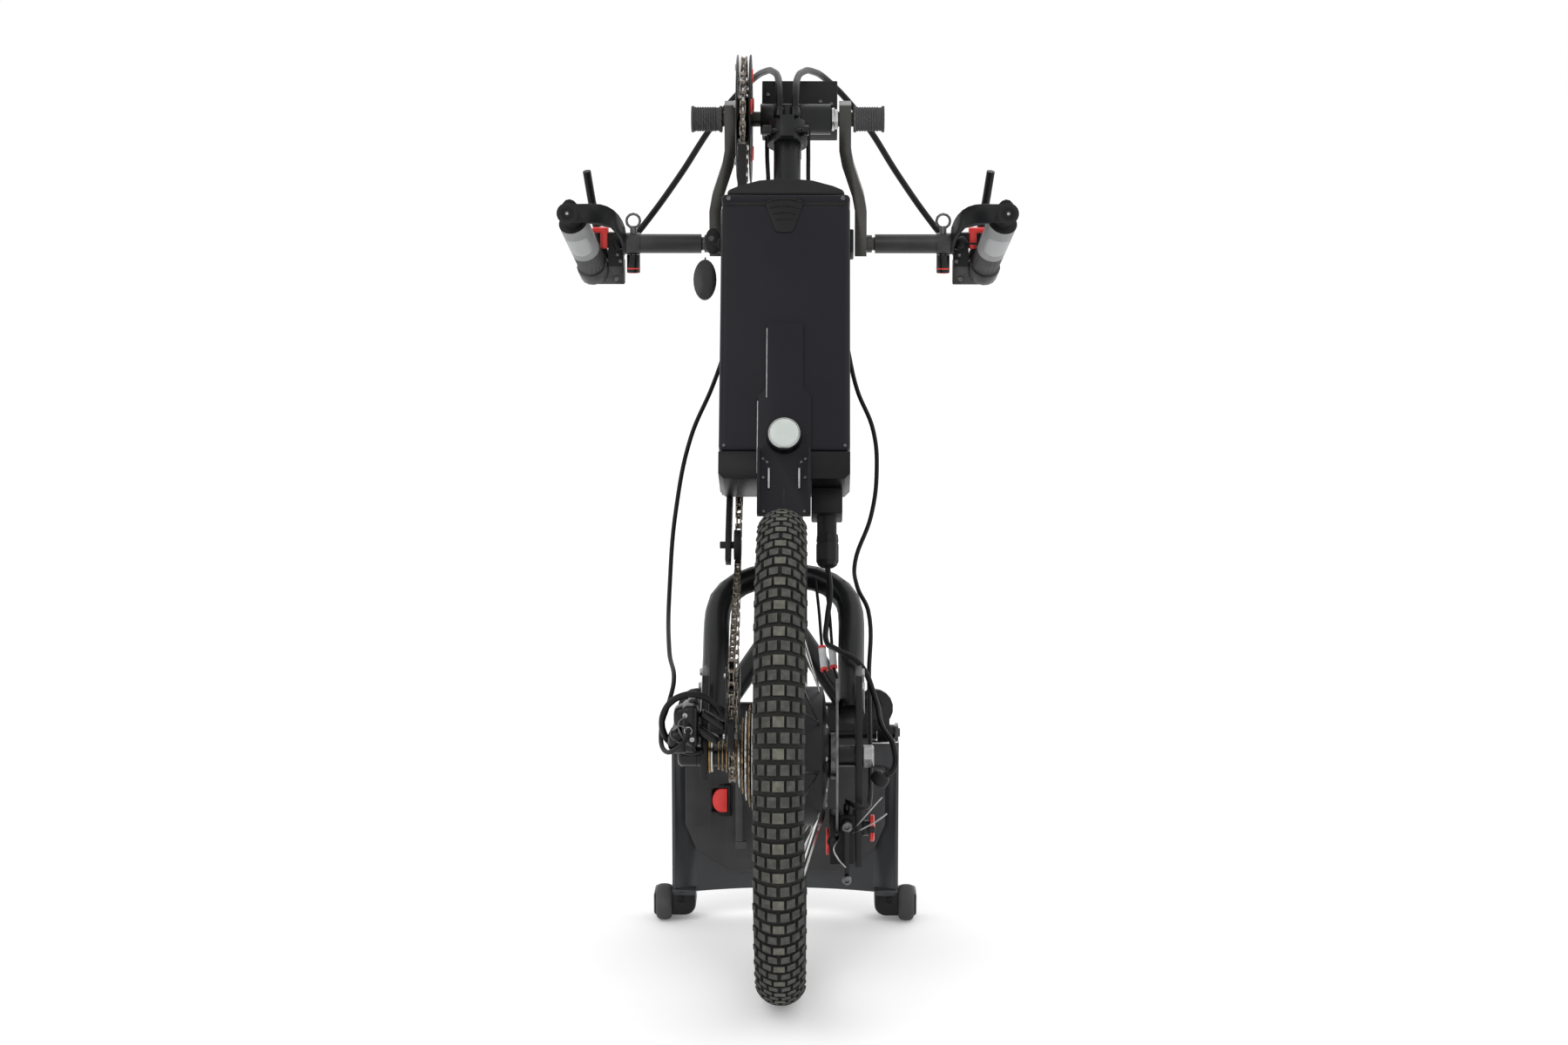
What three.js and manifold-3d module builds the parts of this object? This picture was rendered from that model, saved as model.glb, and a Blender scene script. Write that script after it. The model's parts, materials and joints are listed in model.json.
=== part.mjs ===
// A clip-on electric handcycle: one driven wheel under a raked column that carries
// a hand crank, a battery and a lamp, with a docking frame and a folding stand behind.
// Millimetres, +Z up. It travels towards -Y, and +X is the rider's left.
import * as THREE from "three";
import { mergeVertices } from "three/addons/utils/BufferGeometryUtils.js";
import Module from "manifold-3d";

const wasm = await Module();
wasm.setup();

// Driving dimensions
const wheelRadius = 255;
const columnTilt = THREE.MathUtils.degToRad(25);
const crownInset = 17;
const crownLift = 147;
const crownBehindAxle = wheelRadius - crownInset;
const crownHeight = wheelRadius + crownLift;
const crankAlongColumn = 565;
const crankBehindColumn = 42;
const crankLength = 150;
const crankAngle = THREE.MathUtils.degToRad(10.8);
const originBehindAxle = 223.35;
const seatGap = 0.3;
const overrun = 6;

const tyre = { sectionRadius: 27, bead: THREE.MathUtils.degToRad(135), steps: 10 };
const rim = { width: 36, depth: 13, well: 5, sides: 48 };
const spoke = { count: 36, radius: 1.1, lean: 11 };
const hub = { radius: 72, left: -17, right: 47, shoulder: 12, flange: 3.5, bore: 6.4 };
const rotor = { radius: 80, inner: 52, thickness: 2.2, x: 56, hubRadius: 24, arms: 6, armWidth: 9 };
const cassette = { count: 9, smallRadius: 19, largeRadius: 73, pitch: 3.6, cog: 1.8, core: 16, left: -51.9 };
const axle = { radius: 6, right: 84, sides: 16 };
const axleCap = { radius: 11, length: 24 };
const axleNut = { radius: 12.5, length: 12, sides: 6 };
const washer = { radius: 18, width: 5 };
const spacer = { radius: 11 };

const leg = { spread: 72.5, radius: 14, bend: 62, sides: 12, start: 62 };
const dropout = { thickness: 7, outer: 83, ahead: 26, above: 82, below: 112, waist: 20 };
const crown = { radius: 22, height: 26 };
const steerer = { radius: 12, top: 150 };
const headTube = { radius: 20, bottom: 16, top: 76 };
const column = { radius: 15.5, bottom: 82, top: 556, sides: 24 };

const battery = { width: 143, depth: 71, length: 300, bottom: 112, back: -33, wall: 3, chamfer: 6 };
const cap = { rise: 20, inset: 4, chord: 66 };
const tray = { height: 31 };
const rail = { width: 52, thickness: 5, clampLength: 34 };
const bracket = { thickness: 3, flange: 12, bottom: 38, top: 258, tongue: 40, mid: 58, midTop: 174 };
const lamp = { radius: 19, depth: 15, lens: 16.5, along: 127, bezel: 3, dome: 4 };

const chainX = -51;
const chain = { width: 5, half: 4 };
const ring = { pitch: 68.8, thickness: 3, guard: 75, guardThickness: 2, guardGap: 15, bore: 20, sides: 36 };
const idler = { pitch: 21, width: 8, along: 22, bore: 4 };
const jockey = { pitch: 20, width: 7, bore: 3.2 };
const smallCog = 24;

const armTop = 67;
const armFoot = 86;
const arm = { thickness: 14, width: 27, bossRadius: 19, footRadius: 12, steps: 10,
  startShare: 0.28, endShare: 0.72 };
const crankAxle = { radius: 9, end: 111 };
const peg = { radius: 14, start: 76.6, end: 113, flange: 15.5, flangeWidth: 3.5 };
const shell = { radius: 18, left: -32, right: 50 };
const cableStart = { x: 24, ahead: 8, rise: 0.6, drop: 22 };
const clamp = { radius: 23, bottom: 514, top: 540, ear: 28, earWidth: 16 };
const spindle = { radius: 8, end: 170 };
const sleeve = { radius: 11.5, start: 103, end: 176, collar: 13, collarEnd: 192 };
const strap = { width: 22, thickness: 4, reachX: 65, reachY: 62, rise: 39, endRadius: 12.5, endDepth: 6.5, steps: 10,
  riseShare: 1.45 };
const grip = { radius: 17.5, footShare: 0.94, topX: 252, topY: -42, topZ: 28, footX: 235, footY: 20, footZ: -26 };
const gripHead = { radius: 11 };
const pod = { left: 197, right: 215, front: 12, back: 34, bottom: -28, top: 12 };
const bridge = { right: 229, front: 22, back: 46, bottom: -50, top: -22 };
const perch = { radius: 19, width: 16, bore: 11.4, stub: 18 };
const lever = {
  radius: 5, eye: 6, pivotX: 210, pivotZ: -42, lowX: 228, lowY: 60, lowZ: 0, midX: 236, midY: 56, midZ: 40,
  tipX: 242, tipY: 42, tipZ: 84,
};
const thumb = { front: 14, back: 34, width: 19, stem: 9, bottom: -7, step: 12, top: 18 };
const pin = { radius: 4, barrel: 8, barrelLength: 21, reach: 17, eye: 8, eyeWire: 1.8 };

const dockDrop = 188;
const dockReach = 62;
const dock = {
  plateY: crownBehindAxle + dockReach, thickness: 6, halfWidth: 118, bottom: crownHeight - dockDrop, height: 32,
  earX: 100, earRadius: 22,
};
const dockTop = dock.bottom + dock.height;
const spine = { radius: 16, legRadius: 12.5, back: 6, lift: 92, legX: 72, sides: 12 };
const hook = { x: 62, width: 14, reach: 34, rise: 12, thickness: 12 };
const hinge = { back: 4, drop: 4, radius: 5, boss: 9, lugWidth: 14, head: 2 };
const hingeY = dock.plateY + hinge.back;
const hingeZ = dock.bottom - hinge.drop;
const stand = { halfWidth: 128, gap: 8, bottom: 30, ahead: 32, sag: 27, thickness: 4, flange: 26, steps: 16 };
const standTop = dock.bottom - stand.gap;
const standY = dock.plateY - stand.ahead;
const cover = { halfWidth: 113, drop: 28, bottom: 52, thickness: 9, corner: 30, inset: 24 };
const coverTop = standTop - cover.drop;
const release = { x: -74, drop: 41, width: 17, height: 27, depth: 3, travel: 3 };
const releaseZ = coverTop - release.drop;
const foot = { width: 27, length: 36, clearance: 6 };
const roller = { radius: 20.5, width: 18, x: 137, back: 2, bore: 4.3 };
const rollerY = standY + roller.back;

const consoleBox = { left: -31, right: 58, back: 34, bottom: 562, top: 624, front: 64, keyWidth: 28, keyHeight: 14,
  keySunk: 3, keyTravel: 1.5 };
const controller = { width: 34, height: 58, depth: 40 };
const lock = { below: 40, ahead: 14, radius: 9, depth: 5, reach: 20, bow: 3, bowHeight: 28 };
const tag = { halfWidth: 13, halfHeight: 24, thickness: 4, drop: 3, link: 1 };
const plug = { radius: 11, length: 34 };
const caliper = { y: -16, width: 30, below: 24.4, height: 62, arm: 5, lip: 3, wall: 6 };

// Small tools for making and joining closed shapes
const up = new THREE.Vector3(0, 0, 1);
const across = new THREE.Vector3(1, 0, 0);
const forward = new THREE.Vector3(0, 1, 0);
const weldShare = 1e-3;

function solidOf(geometry) {
  const bare = new THREE.BufferGeometry();
  bare.setAttribute("position", geometry.getAttribute("position"));
  if (geometry.index) bare.setIndex(geometry.index);
  const merged = mergeVertices(bare, weldShare);
  return new wasm.Manifold(
    new wasm.Mesh({
      numProp: 3,
      vertProperties: merged.attributes.position.array,
      triVerts: new Uint32Array(merged.index.array),
    }),
  );
}

function geometryOf(solid) {
  const mesh = solid.getMesh();
  const geometry = new THREE.BufferGeometry();
  geometry.setAttribute("position", new THREE.BufferAttribute(mesh.vertProperties, 3));
  geometry.setIndex(new THREE.BufferAttribute(mesh.triVerts, 1));
  return geometry;
}

function join(...parts) {
  return geometryOf(parts.map(solidOf).reduce((whole, part) => whole.add(part)));
}

function cut(base, ...tools) {
  return geometryOf(tools.map(solidOf).reduce((rest, tool) => rest.subtract(tool), solidOf(base)));
}

function block(x0, x1, y0, y1, z0, z1) {
  const box = new THREE.BoxGeometry(x1 - x0, y1 - y0, z1 - z0);
  return box.translate((x0 + x1) / 2, (y0 + y1) / 2, (z0 + z1) / 2);
}

function rod(from, to, radius, sides = 16, endRadius = radius) {
  const way = to.clone().sub(from);
  const bar = new THREE.CylinderGeometry(endRadius, radius, way.length(), sides);
  bar.applyQuaternion(new THREE.Quaternion().setFromUnitVectors(forward, way.clone().normalize()));
  return bar.translate(...from.clone().add(to).multiplyScalar(0.5).toArray());
}

function at(x, y, z) {
  return new THREE.Vector3(x, y, z);
}

// A round bar along X, centred on (y, z)
function drum(x0, x1, radius, sides = 24, y = 0, z = 0) {
  return rod(at(Math.min(x0, x1), y, z), at(Math.max(x0, x1), y, z), radius, sides);
}

// A shape turned round the X axis from [radius, x] pairs that run with x
function turned(profile, sides) {
  const points = profile.map(([radius, x]) => new THREE.Vector2(radius, x));
  return new THREE.LatheGeometry(points, sides).rotateZ(-Math.PI / 2);
}

function bar(points, radius, sides, steps) {
  const route = new THREE.CatmullRomCurve3(points, false, "centripetal");
  const section = new THREE.Shape();
  for (let i = 0; i < sides; i += 1) {
    const angle = (i / sides) * 2 * Math.PI;
    const x = radius * Math.cos(angle);
    const y = radius * Math.sin(angle);
    if (i === 0) section.moveTo(x, y);
    else section.lineTo(x, y);
  }
  return new THREE.ExtrudeGeometry(section, { steps, extrudePath: route, bevelEnabled: false });
}

function outline(points) {
  return new THREE.Shape(points.map(([x, y]) => new THREE.Vector2(x, y)));
}

function circle(radius, sides, x = 0, y = 0) {
  return Array.from({ length: sides }, (_, i) => {
    const angle = (i / sides) * 2 * Math.PI;
    return [x + radius * Math.cos(angle), y + radius * Math.sin(angle)];
  });
}

// A plate in the YZ plane from x0 to x1, with round or straight holes
function sidePlate(points, x0, x1, holes = []) {
  const shape = outline(points);
  shape.holes = holes.map((hole) => outline(hole));
  const flat = new THREE.ExtrudeGeometry(shape, { depth: x1 - x0, bevelEnabled: false });
  flat.applyMatrix4(new THREE.Matrix4().makeBasis(forward, up, across));
  return flat.translate(x0, 0, 0);
}

// A plate in the XZ plane from y0 back to y1
function frontPlate(points, y0, y1) {
  const flat = new THREE.ExtrudeGeometry(outline(points), { depth: y1 - y0, bevelEnabled: false });
  flat.applyMatrix4(new THREE.Matrix4().makeBasis(across, up, at(0, -1, 0)));
  return flat.translate(0, y1, 0);
}

const looks = {
  paint: { color: 0x1b1b1e, roughness: 0.45, metalness: 0.3 },
  case: { color: 0x18181c, roughness: 0.5, metalness: 0.2 },
  steel: { color: 0xa9a9a6, roughness: 0.3, metalness: 1 },
  bronze: { color: 0x8c7a5c, roughness: 0.35, metalness: 1 },
  arm: { color: 0x3a3a3a, roughness: 0.3, metalness: 0.9 },
  rubber: { color: 0x1c1c1c, roughness: 0.9, metalness: 0 },
  grip: { color: 0x5b5b5c, roughness: 0.7, metalness: 0 },
  plastic: { color: 0x151516, roughness: 0.55, metalness: 0 },
  red: { color: 0xd8262b, roughness: 0.4, metalness: 0 },
  glass: { color: 0xdfe8df, roughness: 0.1, metalness: 0 },
};

function piece(group, name, geometry, look) {
  const mesh = new THREE.Mesh(geometry, new THREE.MeshStandardMaterial(looks[look]));
  mesh.name = name;
  group.add(mesh);
  return mesh;
}

function flip(geometry) {
  const solid = solidOf(geometry);
  return geometryOf(solid.mirror([1, 0, 0]));
}

// The wheel, about its axle
function makeWheel() {
  const group = new THREE.Group();
  group.position.z = wheelRadius;
  const middle = wheelRadius - tyre.sectionRadius;
  const section = Array.from({ length: tyre.steps + 1 }, (_, i) => {
    const angle = tyre.bead * (2 * (i / tyre.steps) - 1);
    return [middle + tyre.sectionRadius * Math.cos(angle), tyre.sectionRadius * Math.sin(angle)];
  });
  piece(group, "tyre", turned([...section, section[0]], rim.sides), "rubber");

  const rimTop = middle + tyre.sectionRadius * Math.cos(tyre.bead) - seatGap;
  const rimFoot = rimTop - rim.depth;
  const half = rim.width / 2;
  const hoop = turned(
    [
      [rimTop, -half],
      [rimTop - rim.well, 0],
      [rimTop, half],
      [rimTop - rim.well, half],
      [rimFoot, half / 2],
      [rimFoot, -half / 2],
      [rimTop - rim.well, -half],
      [rimTop, -half],
    ],
    rim.sides,
  );
  const flangeRadius = hub.radius - hub.shoulder;
  const spokes = Array.from({ length: spoke.count }, (_, i) => {
    const side = i % 2 ? hub.right : hub.left;
    const turn = (i / spoke.count) * 2 * Math.PI;
    const twist = turn + THREE.MathUtils.degToRad(spoke.lean) * (i % 4 < 2 ? 1 : -1);
    const foot = hub.radius + seatGap;
    const inner = at(side * (flangeRadius / foot), foot * Math.cos(twist), foot * Math.sin(twist));
    const reach = rimFoot + rim.well / 2;
    return rod(inner, at(0, reach * Math.cos(turn), reach * Math.sin(turn)), spoke.radius, 3);
  });
  piece(group, "rim_and_spokes", join(hoop, ...spokes), "steel");

  const shoulder = hub.radius - hub.shoulder;
  const collar = hub.bore + hub.shoulder;
  piece(
    group,
    "hub_motor_shell",
    turned(
      [
        [hub.bore, hub.left - hub.flange],
        [shoulder, hub.left - hub.flange],
        [hub.radius, hub.left + hub.flange],
        [hub.radius, hub.right - hub.flange],
        [shoulder, hub.right],
        [collar, hub.right + hub.flange],
        [hub.bore, hub.right + hub.flange],
        [hub.bore, hub.left - hub.flange],
      ],
      40,
    ),
    "paint",
  );

  const rotorBack = rotor.x + rotor.thickness;
  const band = cut(
    drum(rotor.x, rotorBack, rotor.radius, 40),
    drum(rotor.x - overrun, rotorBack + overrun, rotor.inner + rotor.armWidth, 20),
  );
  const arms = Array.from({ length: rotor.arms }, (_, i) => {
    const turn = (i / rotor.arms) * 2 * Math.PI;
    const strut = block(rotor.x, rotorBack, rotor.hubRadius / 2, rotor.inner + rotor.armWidth + rotor.thickness,
      -rotor.armWidth / 2, rotor.armWidth / 2);
    return strut.rotateX(turn);
  });
  const boss = drum(hub.right + hub.flange + seatGap, rotorBack, rotor.hubRadius);
  const disc = cut(join(band, boss, ...arms), drum(0, axle.right, hub.bore));
  piece(group, "brake_rotor", disc, "steel");
  return group;
}

// The cassette, a stepped stack that drives the wheel
function makeCassette() {
  const group = new THREE.Group();
  group.position.z = wheelRadius;
  const profile = [[hub.bore, cassette.left]];
  for (let i = 0; i < cassette.count; i += 1) {
    const grown = i / (cassette.count - 1);
    const radius = THREE.MathUtils.lerp(cassette.smallRadius, cassette.largeRadius, grown);
    const x = cassette.left + i * cassette.pitch;
    profile.push([radius, x], [radius, x + cassette.cog]);
    const waist = Math.max(radius - cassette.cog * 3, cassette.core);
    if (i < cassette.count - 1) profile.push([waist, x + cassette.cog], [waist, x + cassette.pitch]);
  }
  const end = cassette.left + (cassette.count - 1) * cassette.pitch + cassette.cog;
  profile.push([hub.bore, end], [hub.bore, cassette.left]);
  piece(group, "cassette", turned(profile, 22), "bronze");
  return group;
}

// The fork: two bent legs that rise back from the axle to the crown
const armRise = crownHeight - wheelRadius;
const armLength = Math.hypot(crownBehindAxle, armRise);

function alongArm(x, length) {
  return at(x, (length * crownBehindAxle) / armLength, wheelRadius + (length * armRise) / armLength);
}

const dropoutShares = [
  [-0.9, -1], [0.5, -1], [0.9, -0.4], [1.2, -0.1], [2.9, 0.72], [2.5, 1], [1.2, 0.95], [-0.3, 0.5], [-1, 0],
];

function dropoutPlate(outer, inner, below) {
  const points = dropoutShares.map(([y, z]) => [
    y * dropout.ahead,
    wheelRadius + z * (z < 0 ? below : dropout.above),
  ]);
  return sidePlate(points, inner, outer, [circle(axle.radius + seatGap, axle.sides, 0, wheelRadius)]);
}

function forkLeg(below) {
  const bendStart = armLength - leg.bend;
  const points = [alongArm(leg.spread, leg.start), alongArm(leg.spread, (leg.start + bendStart) / 2)];
  const steps = 5;
  for (let i = 0; i <= steps; i += 1) {
    const angle = ((i / steps) * Math.PI) / 2;
    const x = leg.spread - leg.bend * (1 - Math.cos(angle));
    points.push(alongArm(x, bendStart + leg.bend * Math.sin(angle)));
  }
  points.push(alongArm(0, armLength));
  const tube = bar(points, leg.radius, leg.sides, 15);
  const inner = dropout.outer - dropout.thickness;
  return join(tube, dropoutPlate(dropout.outer, inner, below));
}

// A point of the raked column in the upright frame
function raked(x, back, along) {
  return at(
    x,
    crownBehindAxle + along * Math.sin(columnTilt) + back * Math.cos(columnTilt),
    crownHeight + along * Math.cos(columnTilt) - back * Math.sin(columnTilt),
  );
}

function columnGroup() {
  const group = new THREE.Group();
  group.position.set(0, crownBehindAxle, crownHeight);
  group.rotation.x = -columnTilt;
  return group;
}

function makeFork() {
  const group = new THREE.Group();
  const bossCut = rod(
    raked(0, 0, -crown.height * 2), raked(0, 0, crown.height * 2), crown.radius + seatGap, column.sides,
  );
  const right = cut(forkLeg(dropout.below), bossCut);
  const left = cut(flip(forkLeg(dropout.waist)), bossCut);
  piece(group, "fork_leg_right", right, "paint");
  piece(group, "fork_leg_left", left, "paint");

  const inner = dropout.outer - dropout.thickness - seatGap;
  const spindleBar = drum(-dropout.outer - axleCap.length / 2, dropout.outer + axleNut.length, axle.radius, axle.sides);
  const washerPack = drum(-inner, washer.width - inner, washer.radius, 20);
  const leftSpacer = drum(washer.width - inner, cassette.left - seatGap, spacer.radius, 14);
  const rightSpacer = drum(rotor.x + rotor.thickness + seatGap, inner, spacer.radius, 14);
  const axleBar = join(spindleBar, washerPack, leftSpacer, rightSpacer).translate(0, 0, wheelRadius);

  const capStart = -dropout.outer - seatGap;
  const capDome = turned(
    [
      [0, capStart - axleCap.length],
      [axleCap.radius * 0.7, capStart - axleCap.length],
      [axleCap.radius, capStart - axleCap.length + axleCap.radius / 2],
      [axleCap.radius, capStart],
      [0, capStart],
    ],
    20,
  );
  const nutStart = dropout.outer + seatGap;
  const nut = drum(nutStart, nutStart + axleNut.length, axleNut.radius, axleNut.sides);
  const ends = join(capDome, nut).translate(0, 0, wheelRadius);
  piece(group, "hub_axle", join(axleBar, ends), "steel");
  return group;
}

// The column with what is bolted to it: crown, tube, rail, tray, bracket and lamp
function makeColumn() {
  const group = columnGroup();
  const crownBlock = rod(at(0, 0, -crown.height / 2), at(0, 0, crown.height / 2), crown.radius, column.sides);
  const stem = rod(at(0, 0, 0), at(0, 0, steerer.top), steerer.radius, 14);
  piece(group, "fork_crown", join(crownBlock, stem), "paint");

  const tube = cut(
    rod(at(0, 0, column.bottom), at(0, 0, column.top), column.radius, column.sides),
    rod(at(0, 0, column.bottom - overrun), at(0, 0, steerer.top + seatGap), steerer.radius + seatGap, 14),
  );
  piece(group, "column_tube", tube, "paint");

  const batteryFront = battery.back - battery.depth;
  const half = battery.width / 2;
  const railFront = battery.back + seatGap;
  const railBack = railFront + rail.thickness;
  const batteryTop = battery.bottom + battery.length;
  const tubeCut = rod(
    at(0, 0, 0), at(0, 0, column.top), column.radius + seatGap, column.sides,
  );
  const railPlate = block(-rail.width / 2, rail.width / 2, railFront, railBack, column.bottom + overrun, batteryTop);
  const railClamps = [battery.bottom, batteryTop - rail.clampLength * 2].map((start) =>
    block(-rail.width / 3, rail.width / 3, railBack, 0, start, start + rail.clampLength),
  );

  const trayTop = battery.bottom - seatGap;
  const trayBottom = battery.bottom - tray.height;
  const trayOutline = [
    [-half, trayTop], [-half, trayBottom + battery.chamfer], [battery.chamfer - half, trayBottom],
    [half - battery.chamfer, trayBottom], [half, trayBottom + battery.chamfer], [half, trayTop],
  ];
  const trayBody = frontPlate(trayOutline, batteryFront, battery.back - seatGap);
  const trayLug = block(
    -rail.width / 2, rail.width / 2, battery.back - rail.thickness, railBack, trayBottom, trayTop - rail.thickness,
  );
  piece(group, "battery_tray", cut(join(trayBody, trayLug, railPlate, ...railClamps), tubeCut), "paint");

  const bracketBack = batteryFront - seatGap;
  const bracketFace = bracketBack - bracket.thickness;
  const halfMid = bracket.mid / 2;
  const halfTongue = bracket.tongue / 2;
  const slope = (bracket.mid - bracket.tongue) / 2;
  const face = frontPlate(
    [
      [-halfMid, bracket.bottom], [halfMid, bracket.bottom], [halfMid, bracket.midTop],
      [halfTongue, bracket.midTop + slope], [halfTongue, bracket.top],
      [-halfTongue, bracket.top], [-halfTongue, bracket.midTop + slope], [-halfMid, bracket.midTop],
    ],
    bracketFace,
    bracketBack,
  );
  const flanges = [-halfMid, halfMid - bracket.thickness].map((x) =>
    block(x, x + bracket.thickness, bracketFace - bracket.flange, bracketBack, bracket.bottom, trayTop),
  );
  const lampBack = bracketFace;
  const lampFace = lampBack - lamp.depth;
  const housing = cut(
    rod(at(0, lampBack, lamp.along), at(0, lampFace, lamp.along), lamp.radius, 20),
    rod(at(0, lampFace - overrun, lamp.along), at(0, lampFace + lamp.bezel, lamp.along), lamp.lens + seatGap, 20),
  );
  piece(group, "lamp_bracket", join(face, housing, ...flanges), "paint");
  const lensBack = lampFace + lamp.bezel - seatGap;
  const lensEdge = lampFace;
  const lens = join(
    rod(at(0, lensBack, lamp.along), at(0, lensEdge, lamp.along), lamp.lens, 20),
    rod(at(0, lensEdge, lamp.along), at(0, lensEdge - lamp.dome, lamp.along), lamp.lens, 28, lamp.lens / 2),
  );
  piece(group, "lamp_lens", lens, "glass");

  const shellAxis = crankBehindColumn;
  const shellTube = drum(shell.left, shell.right, shell.radius, 28, shellAxis, crankAlongColumn);
  const neck = block(-clamp.earWidth, clamp.earWidth, 0, shellAxis, clamp.bottom, crankAlongColumn);
  const collar = rod(at(0, 0, clamp.bottom), at(0, 0, clamp.top), clamp.radius, column.sides);
  const ear = block(-clamp.earWidth / 2, clamp.earWidth / 2, -clamp.ear, 0, clamp.bottom, clamp.top);
  const backLug = block(
    shell.left + overrun, shell.right - overrun, shellAxis, consoleBox.front - seatGap,
    consoleBox.bottom, consoleBox.bottom + clamp.earWidth,
  );
  const shellBore = drum(
    shell.left - overrun, shell.right + overrun, crankAxle.radius + seatGap, 24, shellAxis, crankAlongColumn,
  );
  const crankHousing = cut(join(shellTube, neck, collar, ear, backLug), shellBore, tubeCut);
  piece(group, "crank_housing", crankHousing, "paint");

  const backFace = consoleBox.front + consoleBox.back;
  const housingBox = block(
    consoleBox.left, consoleBox.right, consoleBox.front, backFace, consoleBox.bottom, consoleBox.top,
  );
  const keyStart = consoleBox.bottom + consoleBox.keyHeight / 2;
  const keyMiddle = (consoleBox.left + consoleBox.right) / 2;
  const keyBox = (grow, front, back) =>
    block(
      keyMiddle - consoleBox.keyWidth / 2 - grow, keyMiddle + consoleBox.keyWidth / 2 + grow, front, back,
      keyStart - grow, keyStart + consoleBox.keyHeight + grow,
    );
  const pocketFloor = backFace - consoleBox.keySunk;
  const keyFloor = pocketFloor + consoleBox.keyTravel + seatGap;
  piece(group, "console_case", cut(housingBox, keyBox(seatGap, pocketFloor, backFace + overrun)), "plastic");
  piece(group, "console_button", keyBox(0, keyFloor, backFace + consoleBox.keyTravel), "red");
  return group;
}

// The battery with its cap, cells, key and tag
function makeBattery() {
  const group = columnGroup();
  const half = battery.width / 2;
  const front = battery.back - battery.depth;
  const top = battery.bottom + battery.length;
  const c = battery.chamfer;
  const corners = (inset) => [
    [-half + inset, front + c], [-half + c, front + inset], [half - c, front + inset], [half - inset, front + c],
    [half - inset, battery.back - c], [half - c, battery.back - inset],
    [-half + c, battery.back - inset], [-half + inset, battery.back - c],
  ];
  const upright = (inset, bottom, height) =>
    new THREE.ExtrudeGeometry(outline(corners(inset)), { depth: height, bevelEnabled: false }).translate(0, 0, bottom);
  const floor = battery.bottom + battery.wall;
  const shellBox = cut(
    upright(0, battery.bottom, battery.length),
    upright(battery.wall, floor, battery.length),
  );
  piece(group, "battery_case", shellBox, "case");
  const cellInset = battery.wall + seatGap;
  piece(group, "battery_cells", upright(cellInset, floor + seatGap, battery.length - battery.wall - cellInset), "plastic");

  const rise = cap.rise;
  const archShares = [
    [-1, 0], [-0.97, 0.3], [-0.8, 0.55], [-0.45, 0.88], [0, 1], [0.45, 0.88], [0.8, 0.55], [0.97, 0.3], [1, 0],
  ];
  const arch = archShares.map(([x, z]) => [x * cap.chord, top + seatGap + z * rise]);
  piece(group, "battery_cap", frontPlate([...arch].reverse(), front + cap.inset, battery.back - cap.inset), "plastic");
  return group;
}

// The chain's way round its wheels, in the YZ plane. A turn of 1 runs the way the
// wheel rolls, and -1 runs against it.
const crankCentre = raked(0, crankBehindColumn, crankAlongColumn);
const frontRun = crankBehindColumn - ring.pitch;
const rearIdlerBack = 17;
const rearIdlerAlong = 96;
const tensionWheel = { y: -5, z: wheelRadius + 85 };
const guideWheel = { y: -40, z: wheelRadius + 30 };
const frontIdler = raked(0, frontRun - idler.pitch, idler.along);
const rearIdler = raked(0, rearIdlerBack - idler.pitch, rearIdlerAlong);
const chainWheels = [
  { y: crankCentre.y, z: crankCentre.z, radius: ring.pitch, turn: 1 },
  { y: frontIdler.y, z: frontIdler.z, radius: idler.pitch, turn: -1 },
  { ...tensionWheel, radius: jockey.pitch, turn: 1 },
  { ...guideWheel, radius: jockey.pitch, turn: -1 },
  { y: 0, z: wheelRadius, radius: smallCog, turn: 1 },
  { y: rearIdler.y, z: rearIdler.z, radius: idler.pitch, turn: 1 },
];

// The angles at which a straight run leaves one wheel and meets the next
function tangent(from, to) {
  const dy = to.y - from.y;
  const dz = to.z - from.z;
  const gap = Math.hypot(dy, dz);
  const heading = Math.atan2(dz, dy);
  const lift = Math.asin((from.turn * from.radius - to.turn * to.radius) / gap);
  const way = heading + lift;
  return { leave: way - (from.turn * Math.PI) / 2, meet: way - (to.turn * Math.PI) / 2 };
}

function chainLoop(offset) {
  const count = chainWheels.length;
  const runs = chainWheels.map((wheel, i) => tangent(wheel, chainWheels[(i + 1) % count]));
  const points = [];
  chainWheels.forEach((wheel, i) => {
    const start = runs[(i + count - 1) % count].meet;
    let sweep = (runs[i].leave - start) * wheel.turn;
    const full = 2 * Math.PI;
    sweep = ((sweep % full) + full) % full;
    const steps = Math.max(2, Math.ceil(sweep / THREE.MathUtils.degToRad(15)));
    const radius = wheel.radius + offset * wheel.turn;
    for (let step = 0; step <= steps; step += 1) {
      const angle = start + (wheel.turn * sweep * step) / steps;
      points.push([wheel.y + radius * Math.cos(angle), wheel.z + radius * Math.sin(angle)]);
    }
  });
  return points;
}

function wheelAt(place, radius, width, bore, sides) {
  return cut(
    drum(chainX - width / 2, chainX + width / 2, radius, sides, place.y, place.z),
    drum(chainX - width, chainX + width, bore + seatGap, 20, place.y, place.z),
  );
}

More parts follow.
